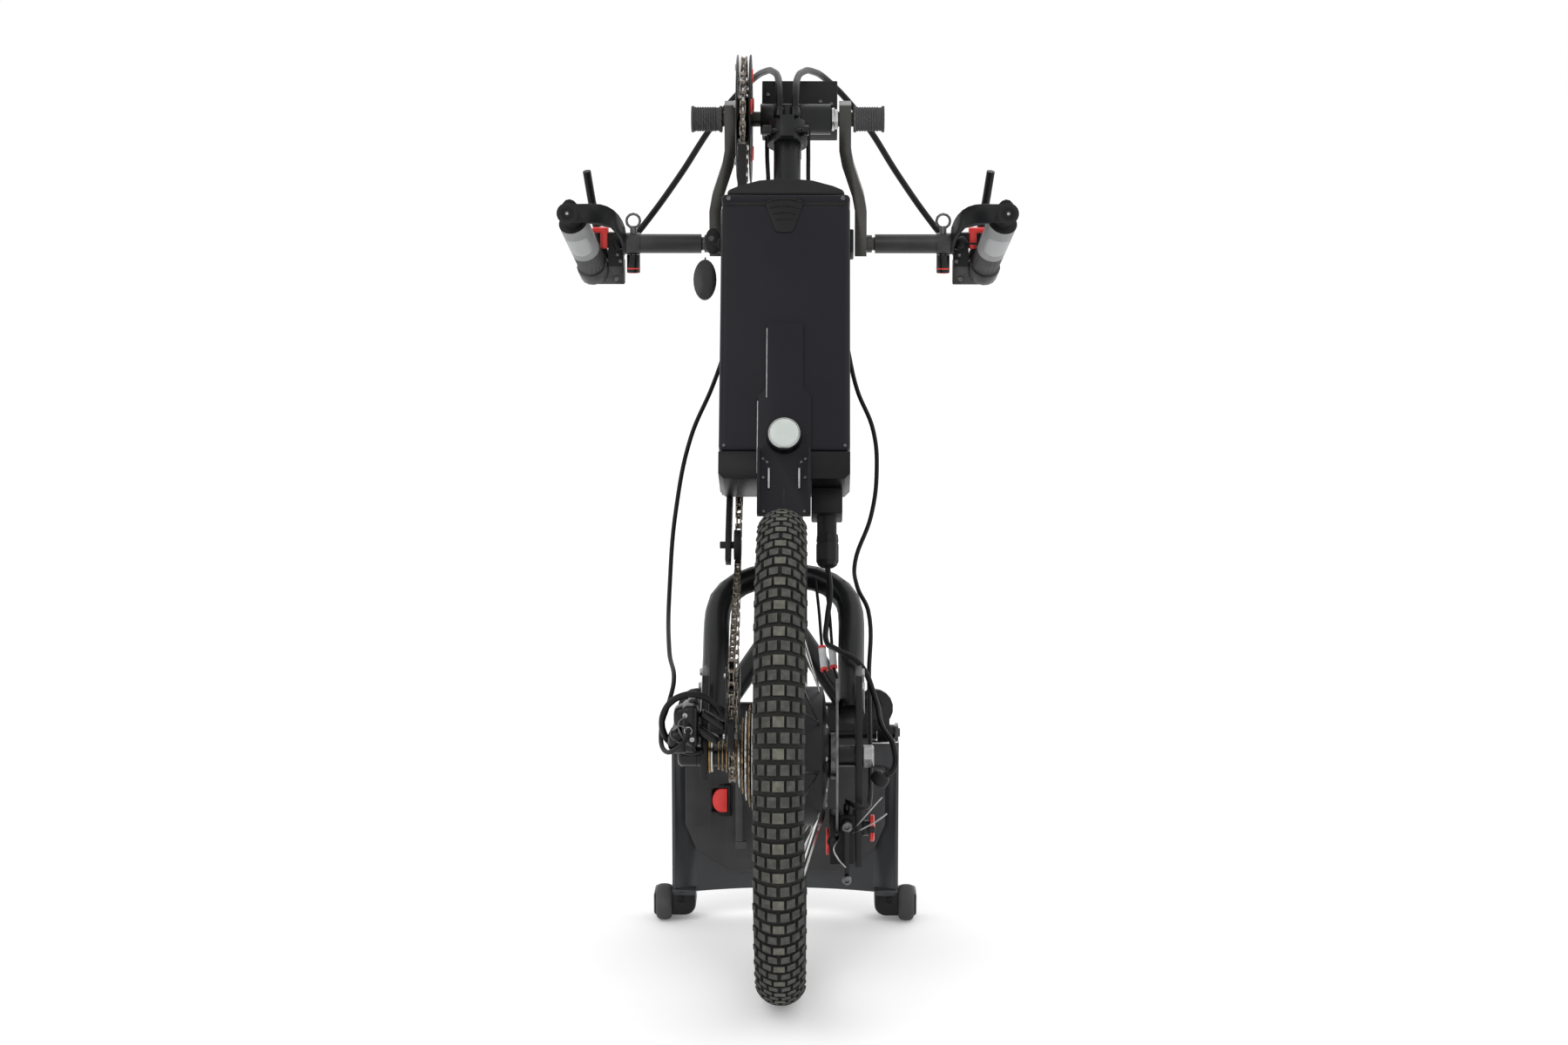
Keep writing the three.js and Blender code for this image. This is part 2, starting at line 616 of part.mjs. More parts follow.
function makeDrive() {
  const group = new THREE.Group();
  const loop = sidePlate(chainLoop(chain.half), chainX - chain.width / 2, chainX + chain.width / 2, [
    chainLoop(-chain.half),
  ]);
  piece(group, "chain", loop, "bronze");

  const rim = chain.half + seatGap;
  const idlerRadius = idler.pitch - rim;
  piece(group, "front_idler", wheelAt(frontIdler, idlerRadius, idler.width, idler.bore, 18), "plastic");
  piece(group, "rear_idler", wheelAt(rearIdler, idlerRadius, idler.width, idler.bore, 18), "plastic");
  const jockeyRadius = jockey.pitch - rim;
  piece(group, "tension_wheel", wheelAt(tensionWheel, jockeyRadius, jockey.width, jockey.bore, 14), "plastic");
  piece(group, "guide_wheel", wheelAt(guideWheel, jockeyRadius, jockey.width, jockey.bore, 14), "plastic");

  const cage = 3;
  const cageBack = chainX - idler.width / 2 - seatGap * 3;
  const cageFace = cageBack - cage;
  const pinEnd = chainX + jockey.width / 2;
  const pins = [tensionWheel, guideWheel].map((place) =>
    drum(cageFace, pinEnd, jockey.bore, 16, place.y, place.z),
  );
  const cageEnds = [tensionWheel, guideWheel].map((place) =>
    drum(cageFace, cageBack, jockeyRadius * 0.7, 20, place.y, place.z),
  );
  const cageWay = Math.atan2(guideWheel.z - tensionWheel.z, guideWheel.y - tensionWheel.y);
  const cageSpan = Math.hypot(guideWheel.z - tensionWheel.z, guideWheel.y - tensionWheel.y);
  const web = block(cageFace, cageBack, 0, cageSpan, -jockeyRadius / 2, jockeyRadius / 2)
    .rotateX(cageWay)
    .translate(0, tensionWheel.y, tensionWheel.z);
  const bodyIn = -dropout.outer - seatGap;
  const mech = { width: 19, front: -34, back: 14, low: 14, high: 67, arm: 18, armLow: 26, armHigh: 54 };
  const body = block(
    bodyIn - mech.width, bodyIn, mech.front - mech.arm, mech.back, wheelRadius + mech.low, wheelRadius + mech.high,
  );
  const swing = block(
    bodyIn - mech.width, cageBack, mech.front - mech.arm, mech.front,
    wheelRadius + mech.armLow, wheelRadius + mech.armHigh,
  );
  piece(group, "derailleur", join(body, swing, web, ...pins, ...cageEnds), "plastic");
  return group;
}

function makeGuards() {
  const group = columnGroup();
  const wall = 1.5;
  const room = 1;
  const x0 = chainX - chain.width / 2 - room;
  const x1 = chainX + chain.width / 2 + room;
  const b0 = frontRun - chain.half - room / 2;
  const b1 = frontRun + chain.half + room / 2;
  const low = rearIdlerAlong + idler.pitch;
  const high = crankAlongColumn - ring.guard + overrun * 2;
  const guardTube = cut(
    block(x0 - wall, x1 + wall, b0 - wall / 3, b1 + wall, low, high),
    block(x0, x1, b0, b1, low - overrun, high + overrun),
  );
  const lugBack = -column.radius / 2;
  const lugIn = -rail.width / 3 - seatGap;
  const lugTop = low + overrun * 3;
  const lug = block(x1 + wall, lugIn, b1, lugBack, low + overrun / 2, lugTop);
  const tubeCut = rod(at(0, 0, 0), at(0, 0, column.top), column.radius + seatGap, column.sides);

  const plateOut = chainX - chain.width / 2 - 11;
  const plateIn = plateOut + 6;
  const ends = [frontIdler, rearIdler];
  const place = [[frontRun - idler.pitch, idler.along], [rearIdlerBack - idler.pitch, rearIdlerAlong]];
  const arm = sidePlate(
    [
      [place[0][0] - overrun, place[0][1] - overrun * 3], [place[0][0] + overrun * 3, place[0][1] - overrun * 3],
      [place[1][0] + overrun * 4, place[1][1]], [place[1][0] + overrun * 4, lugTop],
      [place[1][0] - overrun, lugTop], [place[1][0] - overrun, low],
      [place[0][0] - overrun, place[0][1] + overrun * 2],
    ],
    plateOut,
    plateIn,
  );
  const pins = place.map(([back, along]) => drum(plateOut - overrun, chainX + idler.width / 2, idler.bore, 16, back, along));
  const foot = block(
    plateOut, lugIn, lugBack - overrun, column.radius / 2 - overrun, low + overrun / 2, lugTop,
  );
  piece(group, "chain_guard", cut(join(guardTube, lug, arm, foot, ...pins), tubeCut), "plastic");
  return group;
}

// The hand crank, about its axle
function armOutline(side) {
  const left = [];
  const right = [];
  for (let i = 0; i <= arm.steps; i += 1) {
    const share = i / arm.steps;
    const eased = THREE.MathUtils.smoothstep(share, arm.startShare, arm.endShare);
    const middle = THREE.MathUtils.lerp(armTop, armFoot, eased);
    const drop = -share * (crankLength + arm.footRadius) + (1 - share) * arm.bossRadius;
    left.push([middle - arm.thickness / 2, drop]);
    right.push([middle + arm.thickness / 2, drop]);
  }
  return [...right, ...left.reverse()].map(([x, z]) => [side * x, z]);
}

function makeCrank() {
  const group = new THREE.Group();
  group.position.copy(crankCentre);
  const swing = new THREE.Group();
  swing.rotation.x = crankAngle;
  group.add(swing);
  piece(swing, "crank_axle", drum(-crankAxle.end, crankAxle.end, crankAxle.radius, 14), "steel");
  for (const [name, side] of [["left", -1], ["right", 1]]) {
    const points = armOutline(side);
    const blade = frontPlate(side > 0 ? points.reverse() : points, -arm.width / 2, arm.width / 2);
    const inner = armTop - arm.thickness / 2;
    const outer = armFoot + arm.thickness / 2;
    const bore = drum(side * (inner - overrun), side * (outer + overrun), crankAxle.radius + seatGap, 14);
    const stud = drum(side * (armFoot - arm.thickness / 2), side * spindle.end, spindle.radius, 20, 0, -crankLength);
    piece(swing, `crank_arm_${name}`, cut(join(blade, stud), bore), "arm");
    const pegBody = drum(side * peg.start, side * peg.end, peg.radius, 14);
    const flange = drum(side * peg.start, side * (peg.start + peg.flangeWidth), peg.flange, 14);
    const rimEnd = drum(side * (peg.end - peg.flangeWidth), side * peg.end, peg.flange, 14);
    const pegBore = drum(side * (peg.start - overrun), side * (crankAxle.end + seatGap), crankAxle.radius + seatGap, 14);
    piece(swing, `axle_grip_${name}`, cut(join(pegBody, flange, rimEnd), pegBore), "rubber");
  }
  const x0 = chainX - ring.thickness / 2;
  const x1 = chainX + ring.thickness / 2;
  const bore = drum(x0 - ring.guardGap, x1 + ring.guardGap, crankAxle.radius + seatGap, 14);
  const disc = drum(x0, x1, ring.pitch - chain.half - seatGap * 3, ring.sides);
  const spiderEnd = ring.guardGap / 2;
  const spider = drum(chainX - spiderEnd, chainX + spiderEnd, ring.bore, 20);
  const guards = [-1, 1].map((side) => {
    const middle = chainX + (side * ring.guardGap) / 2;
    return drum(middle - ring.guardThickness / 2, middle + ring.guardThickness / 2, ring.guard, ring.sides);
  });
  piece(swing, "chainring", cut(join(disc, spider, ...guards), bore), "paint");
  return group;
}

// The handles, each about its pedal spindle
function makeStrap() {
  const start = sleeve.collarEnd + seatGap;
  const middle = start + strap.reachX;
  const outer = [];
  const inner = [];
  for (let i = 0; i <= strap.steps; i += 1) {
    const angle = ((i / strap.steps) * Math.PI) / 2;
    const across = Math.cos(angle);
    const ahead = Math.sin(angle);
    outer.push([middle - strap.reachX * across, -strap.reachY * ahead]);
    inner.push([middle - (strap.reachX - strap.thickness) * across, -(strap.reachY - strap.thickness) * ahead]);
  }
  const band = new THREE.ExtrudeGeometry(outline([...outer, ...inner.reverse()]), {
    depth: strap.width,
    bevelEnabled: false,
  }).translate(0, 0, -strap.width / 2);
  const places = band.getAttribute("position");
  for (let i = 0; i < places.count; i += 1) {
    const turn = Math.atan2(-places.getY(i) / strap.reachY, (middle - places.getX(i)) / strap.reachX);
    const share = Math.sin(Math.min(Math.max(turn, 0) * strap.riseShare, Math.PI / 2));
    places.setZ(i, places.getZ(i) + strap.rise * share);
  }
  const seat = drum(start, start + strap.thickness, strap.endRadius, 18);
  const endBack = strap.endDepth - strap.reachY;
  const end = rod(at(middle, -strap.reachY, strap.rise), at(middle, endBack, strap.rise), strap.endRadius, 18);
  return join(band, seat, end);
}

function makeHandle(name, side) {
  const group = new THREE.Group();
  group.position.set(
    0,
    crankCentre.y + crankLength * Math.sin(crankAngle),
    crankCentre.z - crankLength * Math.cos(crankAngle),
  );
  const place = (geometry) => (side < 0 ? flip(geometry) : geometry);
  const add = (label, geometry, look) => piece(group, `${label}_${name}`, place(geometry), look);

  const tube = drum(sleeve.start, sleeve.collarEnd, sleeve.radius, 20);
  const collar = drum(sleeve.end, sleeve.collarEnd, sleeve.collar, 20);
  const bore = drum(sleeve.start - overrun, spindle.end + seatGap * 3, spindle.radius + seatGap, 14);
  const pinX = (sleeve.end + sleeve.collarEnd) / 2;
  const pinHole = rod(
    at(pinX, 0, -sleeve.collar - overrun), at(pinX, 0, sleeve.collar + overrun), pin.radius + seatGap, 16,
  );
  add("handle_sleeve", cut(join(tube, collar), bore, pinHole), "paint");

  const barrelTop = -sleeve.collar - seatGap;
  const eyeMiddle = pin.reach + pin.eye;
  const eye = new THREE.TorusGeometry(pin.eye, pin.eyeWire, 5, 12).rotateX(Math.PI / 2).translate(pinX, 0, eyeMiddle + pin.radius / 2);
  const shaft = rod(at(pinX, 0, barrelTop - overrun), at(pinX, 0, pin.reach + pin.radius), pin.radius, 16);
  const barrel = rod(at(pinX, 0, barrelTop - pin.barrelLength), at(pinX, 0, barrelTop), pin.barrel, 14);
  add("pull_pin", join(shaft, barrel, eye), "plastic");

  add("handle_strap", makeStrap(), "paint");

  const top = at(grip.topX, grip.topY, grip.topZ);
  const foot = at(grip.footX, grip.footY, grip.footZ);
  const way = foot.clone().sub(top).normalize();
  const strapBack = strap.endDepth - strap.reachY + seatGap;
  const headStart = at(sleeve.collarEnd + seatGap + strap.reachX, strapBack, strap.rise);
  const headEnd = top.clone().addScaledVector(way, grip.radius);
  const handFront = cut(
    join(rod(headStart.clone().add(at(0, -grip.radius, grip.radius)), headEnd, gripHead.radius, 14), rod(top, foot, grip.radius, 24, grip.radius * grip.footShare)),
    block(0, sleeve.collarEnd * 2, strapBack - sleeve.collarEnd, strapBack, -sleeve.collarEnd, sleeve.collarEnd),
  );
  const stubEnd = foot.clone().addScaledVector(way, perch.stub);
  const stub = rod(foot.clone().addScaledVector(way, -grip.radius), stubEnd, perch.bore - seatGap, 14);

  const ringStart = foot.clone().addScaledVector(way, seatGap);
  const ringEnd = foot.clone().addScaledVector(way, perch.width);
  const podBody = block(pod.left, pod.right, pod.front, pod.back, pod.bottom, pod.top);
  const bridgeBody = block(pod.left, bridge.right, bridge.front, bridge.back, bridge.bottom, bridge.top);
  const ringBody = rod(ringStart, ringEnd, perch.radius, 18);
  add("hand_grip", join(handFront, stub, podBody, bridgeBody, ringBody), "grip");

  const pivotY = bridge.back + seatGap + lever.eye;
  const blade = bar(
    [
      at(lever.pivotX, pivotY, lever.pivotZ), at(lever.lowX, lever.lowY, lever.lowZ),
      at(lever.midX, lever.midY, lever.midZ), at(lever.tipX, lever.tipY, lever.tipZ),
    ],
    lever.radius, 8, 12,
  );
  const eyeBar = drum(lever.pivotX - overrun, lever.pivotX + overrun, lever.eye, 20, pivotY, lever.pivotZ);
  add("brake_lever", join(blade, eyeBar), "paint");

  const thumbStart = pod.right + seatGap;
  const paddle = block(thumbStart, thumbStart + thumb.width, thumb.front, thumb.back, thumb.step, thumb.top);
  const stem = block(thumbStart, thumbStart + thumb.stem, thumb.front, thumb.back, thumb.bottom, thumb.step);
  add("thumb_lever", join(paddle, stem), "red");
  return group;
}

// The docking frame and the parking stand, in the upright frame
function makeDock() {
  const group = new THREE.Group();
  const tube = rod(raked(0, 0, headTube.bottom), raked(0, 0, headTube.top), headTube.radius, column.sides);
  const bore = rod(
    raked(0, 0, headTube.bottom - overrun), raked(0, 0, headTube.top + overrun), steerer.radius + seatGap * 2, 20,
  );
  const neck = at(0, dock.plateY + spine.back, dockTop + spine.lift);
  const back = rod(raked(0, headTube.radius / 2, headTube.top - headTube.radius), neck, spine.radius, spine.sides);
  const plateMiddle = dock.plateY - dock.thickness / 2;
  const legs = [-1, 1].map((side) =>
    rod(neck.clone().add(at(0, 0, overrun)), at(side * spine.legX, plateMiddle, dockTop - overrun), spine.legRadius, 14),
  );
  const plate = block(
    -dock.halfWidth, dock.halfWidth, dock.plateY - dock.thickness, dock.plateY, dock.bottom, dockTop,
  );
  const earZ = dockTop - overrun;
  const ears = [-1, 1].map((side) =>
    rod(at(side * dock.earX, dock.plateY - dock.thickness, earZ), at(side * dock.earX, dock.plateY, earZ), dock.earRadius, 18),
  );
  const lugs = [-1, 1].map((side) => {
    const x = [side * (dock.halfWidth - hinge.lugWidth), side * dock.halfWidth].sort((a, b) => a - b);
    return block(
      x[0], x[1], dock.plateY - dock.thickness, hingeY + hinge.boss, hingeZ - hinge.boss, dock.bottom + overrun,
    );
  });
  const pins = [-1, 1].map((side) =>
    drum(side * (dock.halfWidth - overrun), side * (stand.halfWidth + hinge.head), hinge.radius, 16, hingeY, hingeZ),
  );
  const ends = [-1, 1].map((side) =>
    drum(
      side * (dock.halfWidth - overrun), side * (stand.halfWidth - stand.thickness - seatGap), hinge.boss, 20,
      hingeY, hingeZ,
    ),
  );
  const fittings = [];

  for (const side of [-1, 1]) {
    const y0 = dock.plateY - dock.thickness / 2;
    const z0 = dock.bottom + overrun / 2;
    const x = side * hook.x;
    const claw = sidePlate(
      [
        [y0, z0], [y0 + hook.reach, z0 - hook.thickness / 2], [y0 + hook.reach, z0 + hook.rise],
        [y0 + hook.reach - hook.thickness / 2, z0 + hook.rise], [y0 + hook.reach - hook.thickness / 2, z0 + overrun / 2],
        [y0 + hook.thickness, z0 + hook.thickness / 2], [y0 + hook.thickness / 2, dockTop], [y0, dockTop],
      ],
      x - hook.width / 2,
      x + hook.width / 2,
    );
    fittings.push(claw);
    const pad = rod(
      at(side * dock.earX, dock.plateY - dock.thickness / 2, earZ),
      at(side * dock.earX, dock.plateY - dock.thickness * 3, earZ), dock.earRadius / 2, 20,
    );
    fittings.push(pad);
  }
  const frame = join(tube, back, ...legs, plate, ...ears, ...lugs, ...pins, ...ends, ...fittings);
  piece(group, "dock_frame", cut(frame, bore), "paint");
  return group;
}

function archAt(x) {
  return standY + stand.sag * (1 - (x / stand.halfWidth) ** 2);
}

function archedSlab(halfWidth, ahead, behind, bottom, top) {
  const xs = Array.from({ length: stand.steps + 1 }, (_, i) => halfWidth * (2 * (i / stand.steps) - 1));
  const points = [
    ...xs.map((x) => [x, archAt(x) + ahead]),
    ...xs.reverse().map((x) => [x, archAt(x) + behind]),
  ];
  return new THREE.ExtrudeGeometry(outline(points), { depth: top - bottom, bevelEnabled: false }).translate(0, 0, bottom);
}

function makeStand() {
  const group = new THREE.Group();
  const inner = stand.halfWidth - stand.thickness;
  const shield = archedSlab(stand.halfWidth, 0, stand.thickness, stand.bottom, standTop);
  const sideOutline = [
    [standY, stand.bottom], [standY + stand.flange, stand.bottom + stand.flange / 2],
    [standY + stand.flange, standTop - stand.flange / 2], [hingeY + hinge.boss, hingeZ - hinge.boss],
    [hingeY + hinge.boss, hingeZ + hinge.boss], [hingeY - hinge.boss, hingeZ + hinge.boss],
    [hingeY - hinge.boss - stand.thickness, standTop], [standY, standTop],
  ];
  const hole = [circle(hinge.radius + seatGap, 16, hingeY, hingeZ)];
  const sides = [
    sidePlate(sideOutline, -stand.halfWidth, -inner, hole),
    sidePlate(sideOutline, inner, stand.halfWidth, hole),
  ];

  const slab = archedSlab(cover.halfWidth, -cover.thickness, -seatGap, cover.bottom, coverTop);
  const w = cover.halfWidth;
  const mask = frontPlate(
    [
      [cover.inset + cover.corner - w, cover.bottom], [w - cover.inset - cover.corner, cover.bottom],
      [w - cover.inset / 2, cover.bottom + cover.corner], [w, cover.bottom + cover.corner * 2], [w, coverTop],
      [-w, coverTop], [-w, cover.bottom + cover.corner * 2], [cover.inset / 2 - w, cover.bottom + cover.corner],
    ],
    standY - cover.thickness * 2,
    standY + stand.sag + cover.thickness,
  );
  const front = archAt(release.x) - cover.thickness;
  const slot = (grow, y0, y1) =>
    block(release.x - release.width / 2 - grow, release.x + release.width / 2 + grow, y0, y1,
      releaseZ - release.height / 2 - grow, releaseZ + release.height / 2 + grow);
  const coverBody = geometryOf(
    solidOf(slab).intersect(solidOf(mask)).subtract(solidOf(slot(seatGap, front - cover.thickness, front + cover.thickness))),
  );
  piece(group, "stand_cover", coverBody, "plastic");
  piece(group, "release_button", slot(0, front - release.travel, front + release.depth), "red");

  const feet = [];
  for (const [name, side] of [["left", -1], ["right", 1]]) {
    const place = (geometry) => (side < 0 ? flip(geometry) : geometry);
    const footIn = stand.halfWidth - foot.width;
    const high = stand.bottom + overrun;
    const low = foot.clearance;
    const base = block(footIn, stand.halfWidth, standY - overrun, standY + foot.length - overrun, low, high);
    const pinBar = drum(stand.halfWidth - overrun, roller.x + roller.width / 2 + overrun / 2, roller.bore - seatGap, 16,
      rollerY, roller.radius);
    feet.push(place(base), place(pinBar));
    const x0 = roller.x - roller.width / 2 + seatGap;
    const x1 = roller.x + roller.width / 2;
    const r = roller.radius;
    const profile = [
      [roller.bore, x0], [r * 0.75, x0], [r, x0 + r / 4], [r, x1 - r / 4], [r * 0.75, x1], [roller.bore, x1], [roller.bore, x0],
    ];
    const wheelBody = turned(profile, 32).translate(0, rollerY, r);
    piece(group, `stand_roller_${name}`, place(wheelBody), "rubber");
  }
  piece(group, "stand_shield", join(shield, ...sides, ...feet), "paint");
  return group;
}

// Electrics, brake and cords that the frame holds along their whole length
const points = (list) => list.map(([x, y, z]) => at(x, y, z));

function makeFittings() {
  const group = new THREE.Group();
  const side = dropout.outer - dropout.thickness - seatGap;
  const rotorFront = rotor.x - seatGap * 2;
  const rotorBack = rotor.x + rotor.thickness + seatGap * 2;
  const edge = wheelRadius - rotor.radius - caliper.lip;
  const base = edge - caliper.below;
  const topZ = edge + caliper.height * 0.45;
  const y0 = caliper.y - caliper.width / 2;
  const y1 = caliper.y + caliper.width / 2;
  const inner = rotorFront - caliper.wall;
  const body = join(
    block(inner, side, y0, y1, base, edge),
    block(inner, rotorFront, y0, y1, edge - 1, topZ),
    block(rotorBack, side, y0, y1, edge - 1, topZ),
  );
  piece(group, "brake_caliper", body, "plastic");
  const armPivot = topZ - overrun * 1.5;
  const armX = (rotorBack + side) / 2;
  const armY = y0 - seatGap;
  const armBar = join(
    block(armX - caliper.arm / 2, armX + caliper.arm / 2, armY - caliper.arm * 2, armY - caliper.arm, base - overrun * 3, armPivot),
    rod(at(armX, armY, armPivot), at(armX, armY - caliper.arm * 2, armPivot), caliper.arm + 1, 14),
  );
  piece(group, "caliper_arm", armBar, "steel");

  const boxFront = raked(0, battery.back - controller.depth, 0);
  const holder = columnGroup();
  group.add(holder);
  const trayBottom = battery.bottom - tray.height - seatGap;
  const x0 = bracket.mid / 2 + seatGap;
  const box = block(x0, x0 + controller.width, battery.back - controller.depth, battery.back, trayBottom - controller.height / 2, trayBottom);
  const socketX = x0 + controller.width / 2;
  const socketB = battery.back - controller.depth / 2;
  const socketLow = trayBottom - controller.height / 2;
  const socket = rod(at(socketX, socketB, socketLow - plug.length), at(socketX, socketB, socketLow), plug.radius, 14);
  piece(holder, "controller_box", join(box, socket), "plastic");

  const start = raked(socketX, socketB, socketLow - plug.length - seatGap);
  const motorCable = points([
    start.toArray(), raked(socketX, socketB, socketLow - plug.length - overrun * 2).toArray(), [50, 158, 396], [47, 150, 372], [46, 130, 350], [58, 104, 346], [80, 92, 335], [98, 62, 300],
    [104, 30, 280], [116, 8, 262], [114, -4, 240], [104, -6, 236],
  ]);
  piece(group, "motor_cable", bar(motorCable, 3, 8, 20), "rubber");
  const shellUnder = crankAlongColumn - shell.radius - seatGap;
  const gearCable = points([
    raked(-cableStart.x, crankBehindColumn - cableStart.ahead, shellUnder + cableStart.rise).toArray(),
    raked(-cableStart.x, crankBehindColumn - cableStart.ahead, shellUnder - cableStart.drop).toArray(),
    [-24, 500, 800], [-48, 420, 720], [-66, 350, 650], [-82, 322, 604], [-106, 300, 548], [-122, 282, 470],
    [-127, 232, 392], [-122, 120, 340], [-114, 52, 322], [-118, 24, 305], [-124, -10, 285], [-118, -44, 270], [-104, -62, 278],
    [-96, -66, 288], [-94, -58, 295], [-94, -52.4, 295],
  ]);
  piece(group, "gear_cable", bar(gearCable, 2.5, 8, 30), "rubber");
  const brakeCable = points([
    raked(cableStart.x, crankBehindColumn - cableStart.ahead, shellUnder + cableStart.rise).toArray(),
    raked(cableStart.x, crankBehindColumn - cableStart.ahead, shellUnder - cableStart.drop).toArray(),
    [26, 500, 800], [50, 420, 716], [68, 350, 650], [80, 318, 600], [98, 302, 556], [102, 296, 511], [96, 290, 462],
    [78, 272, 412], [80, 240, 390], [92, 208, 368], [92, 140, 310], [92, 60, 256], [92, 22, 228], [91, -16, 214],
    [87, -38, 210], [78, -44, 212], [69, -34, 215], [67, -18, 209], [67, -18, 200.4],
  ]);
  piece(group, "brake_cable", bar(brakeCable, 2.5, 8, 34), "rubber");

  for (const [name, way] of [["left", -1], ["right", 1]]) {
    const route = points([
      [way * 206, 593.6, 724], [way * 196, 593.6, 742], [way * 176, 592, 766], [way * 134, 640, 824], [way * 94, 690, 886],
      [way * 72, 700, 914], [way * 46, 676, 940], [way * 28, 620, 951], [way * 18, 560, 951], [way * 11, 502, 943],
      [way * 9.5, 464, 926], raked(way * 9, -clamp.ear * 0.7, clamp.top + overrun * 2).toArray(),
      raked(way * 9, -clamp.ear * 0.7, clamp.top + seatGap).toArray(),
    ]);
    piece(group, `handle_cable_${name}`, bar(route, 4, 8, 18), "rubber");
  }
  return group;
}

function makeLock() {
  const group = columnGroup();
  const side = -battery.width / 2 - seatGap;
  const along = battery.bottom + battery.length - lock.below;
  const back = battery.back - lock.ahead;
  const barrel = drum(side - lock.depth, side, lock.radius, 20, back, along);
  const bow = block(
    side - lock.reach, side - lock.depth / 2, back - lock.bow / 2, back + lock.bow / 2,
    along - lock.bowHeight / 2, along + lock.bowHeight / 2,
  );
  piece(group, "battery_key", join(barrel, bow), "steel");

  const tagX = side - lock.reach + tag.link;
  const tagTop = along - lock.bowHeight / 2 - seatGap;
  const disc = tagTop - tag.drop - tag.halfHeight;
  const oval = circle(1, 24).map(([x, z]) => [tagX + tag.halfWidth * x, disc + tag.halfHeight * z]);
  const plate = frontPlate(oval, back - tag.thickness / 2, back + tag.thickness / 2);
  const link = rod(at(tagX, back, disc), at(tagX, back, tagTop), tag.link, 8);
  piece(group, "key_tag", join(plate, link), "plastic");
  return group;
}

const handcycle = new THREE.Group();
handcycle.add(
  makeDock(), makeStand(), makeFork(), makeColumn(), makeWheel(), makeCassette(), makeBattery(), makeLock(),
  makeDrive(), makeGuards(), makeCrank(), makeHandle("left", -1), makeHandle("right", 1), makeFittings(),
);
handcycle.position.y = -originBehindAxle;

export default handcycle;
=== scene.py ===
"""A clip-on electric handcycle, dressed for its picture.

The frame's solids give every size and place. This script softens them, adds the small
parts that they leave out, and gives each surface its finish. Metres throughout, +Z up,
and the wheel travels towards -Y.
"""

from __future__ import annotations

import json
import logging
import math
from dataclasses import dataclass, field
from enum import Enum

import bmesh
import bpy
from mathutils import Matrix, Vector

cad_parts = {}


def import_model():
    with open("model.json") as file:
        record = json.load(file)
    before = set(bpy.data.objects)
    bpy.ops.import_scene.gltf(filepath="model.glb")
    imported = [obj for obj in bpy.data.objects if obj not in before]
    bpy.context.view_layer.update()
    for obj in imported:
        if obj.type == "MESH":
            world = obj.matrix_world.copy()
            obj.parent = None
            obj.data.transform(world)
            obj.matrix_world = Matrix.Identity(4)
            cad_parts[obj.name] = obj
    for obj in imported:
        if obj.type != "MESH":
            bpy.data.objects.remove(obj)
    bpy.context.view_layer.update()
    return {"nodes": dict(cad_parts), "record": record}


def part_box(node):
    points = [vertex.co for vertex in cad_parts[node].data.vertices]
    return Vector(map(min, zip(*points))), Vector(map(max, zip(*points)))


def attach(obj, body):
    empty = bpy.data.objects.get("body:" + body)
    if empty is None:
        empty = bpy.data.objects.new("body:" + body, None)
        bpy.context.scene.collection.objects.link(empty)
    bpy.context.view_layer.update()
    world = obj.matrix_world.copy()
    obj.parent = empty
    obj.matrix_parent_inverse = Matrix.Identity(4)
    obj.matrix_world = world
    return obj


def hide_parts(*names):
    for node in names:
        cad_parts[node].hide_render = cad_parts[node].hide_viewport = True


LOG = logging.getLogger("handcycle")
MM = 0.001
# The row's origin lies this many millimetres behind the wheel's axle.
ORIGIN = 223.35
Colour = tuple[float, float, float]
Point = tuple[float, float, float]
Profile = list[tuple[float, float]]


def mm(*values: float) -> tuple[float, ...]:
    """Turn millimetres into metres."""
    return tuple(value * MM for value in values)


def spot(x: float, y: float, z: float) -> Point:
    """Turn a place in millimetres, with Y counted back from the wheel's axle, into the row's metres."""
    return (x * MM, (y - ORIGIN) * MM, z * MM)


def arc(middle: tuple, radii: tuple, start: float, sweep: float, steps: int) -> Profile:
    """Give points on part of an ellipse.

    Args:
        middle: Its middle in the plane.
        radii: Its two half widths.
        start: The angle of the first point, in radians.
        sweep: The angle from the first point to the last.
        steps: How many steps lie between them.

    Returns:
        The points, one more than the steps.
    """
    angles = [start + sweep * i / steps for i in range(steps + 1)]
    return [(middle[0] + radii[0] * math.cos(a), middle[1] + radii[1] * math.sin(a)) for a in angles]


class Body(Enum):
    """The bodies that most of the pieces here ride on."""

    DOCK = "dock"
    STAND = "stand"
    RELEASE = "release"
    COLUMN = "column"
    WHEEL = "wheel"
    CASSETTE = "cassette"
    BATTERY = "battery"
    KEY = "key"
    CRANK = "crank"
    CALIPER_ARM = "caliper_arm"


class Side(Enum):
    """The two sides of the handcycle as the photograph shows them."""

    LEFT = -1
    RIGHT = 1

    @property
    def word(self) -> str:
        """Give the side's word in node and body names."""
        return self.name.lower()


def grey(level: float, tint: float = 0.0) -> Colour:
    """Give a grey as written on screen, turned to linear light.

    Args:
        level: Brightness from 0 to 1 as a screen shows it.
        tint: How much bluer than grey it is.

    Returns:
        The linear red, green and blue.
    """
    return screen(level - tint / 2, level, level + tint)


def screen(red: float, green: float, blue: float) -> Colour:
    """Turn screen red, green and blue from 0 to 1 into linear light."""
    return tuple(
        value / 12.92 if value <= 0.04045 else ((value + 0.055) / 1.055) ** 2.4
        for value in (max(red, 0.0), max(green, 0.0), max(blue, 0.0))
    )


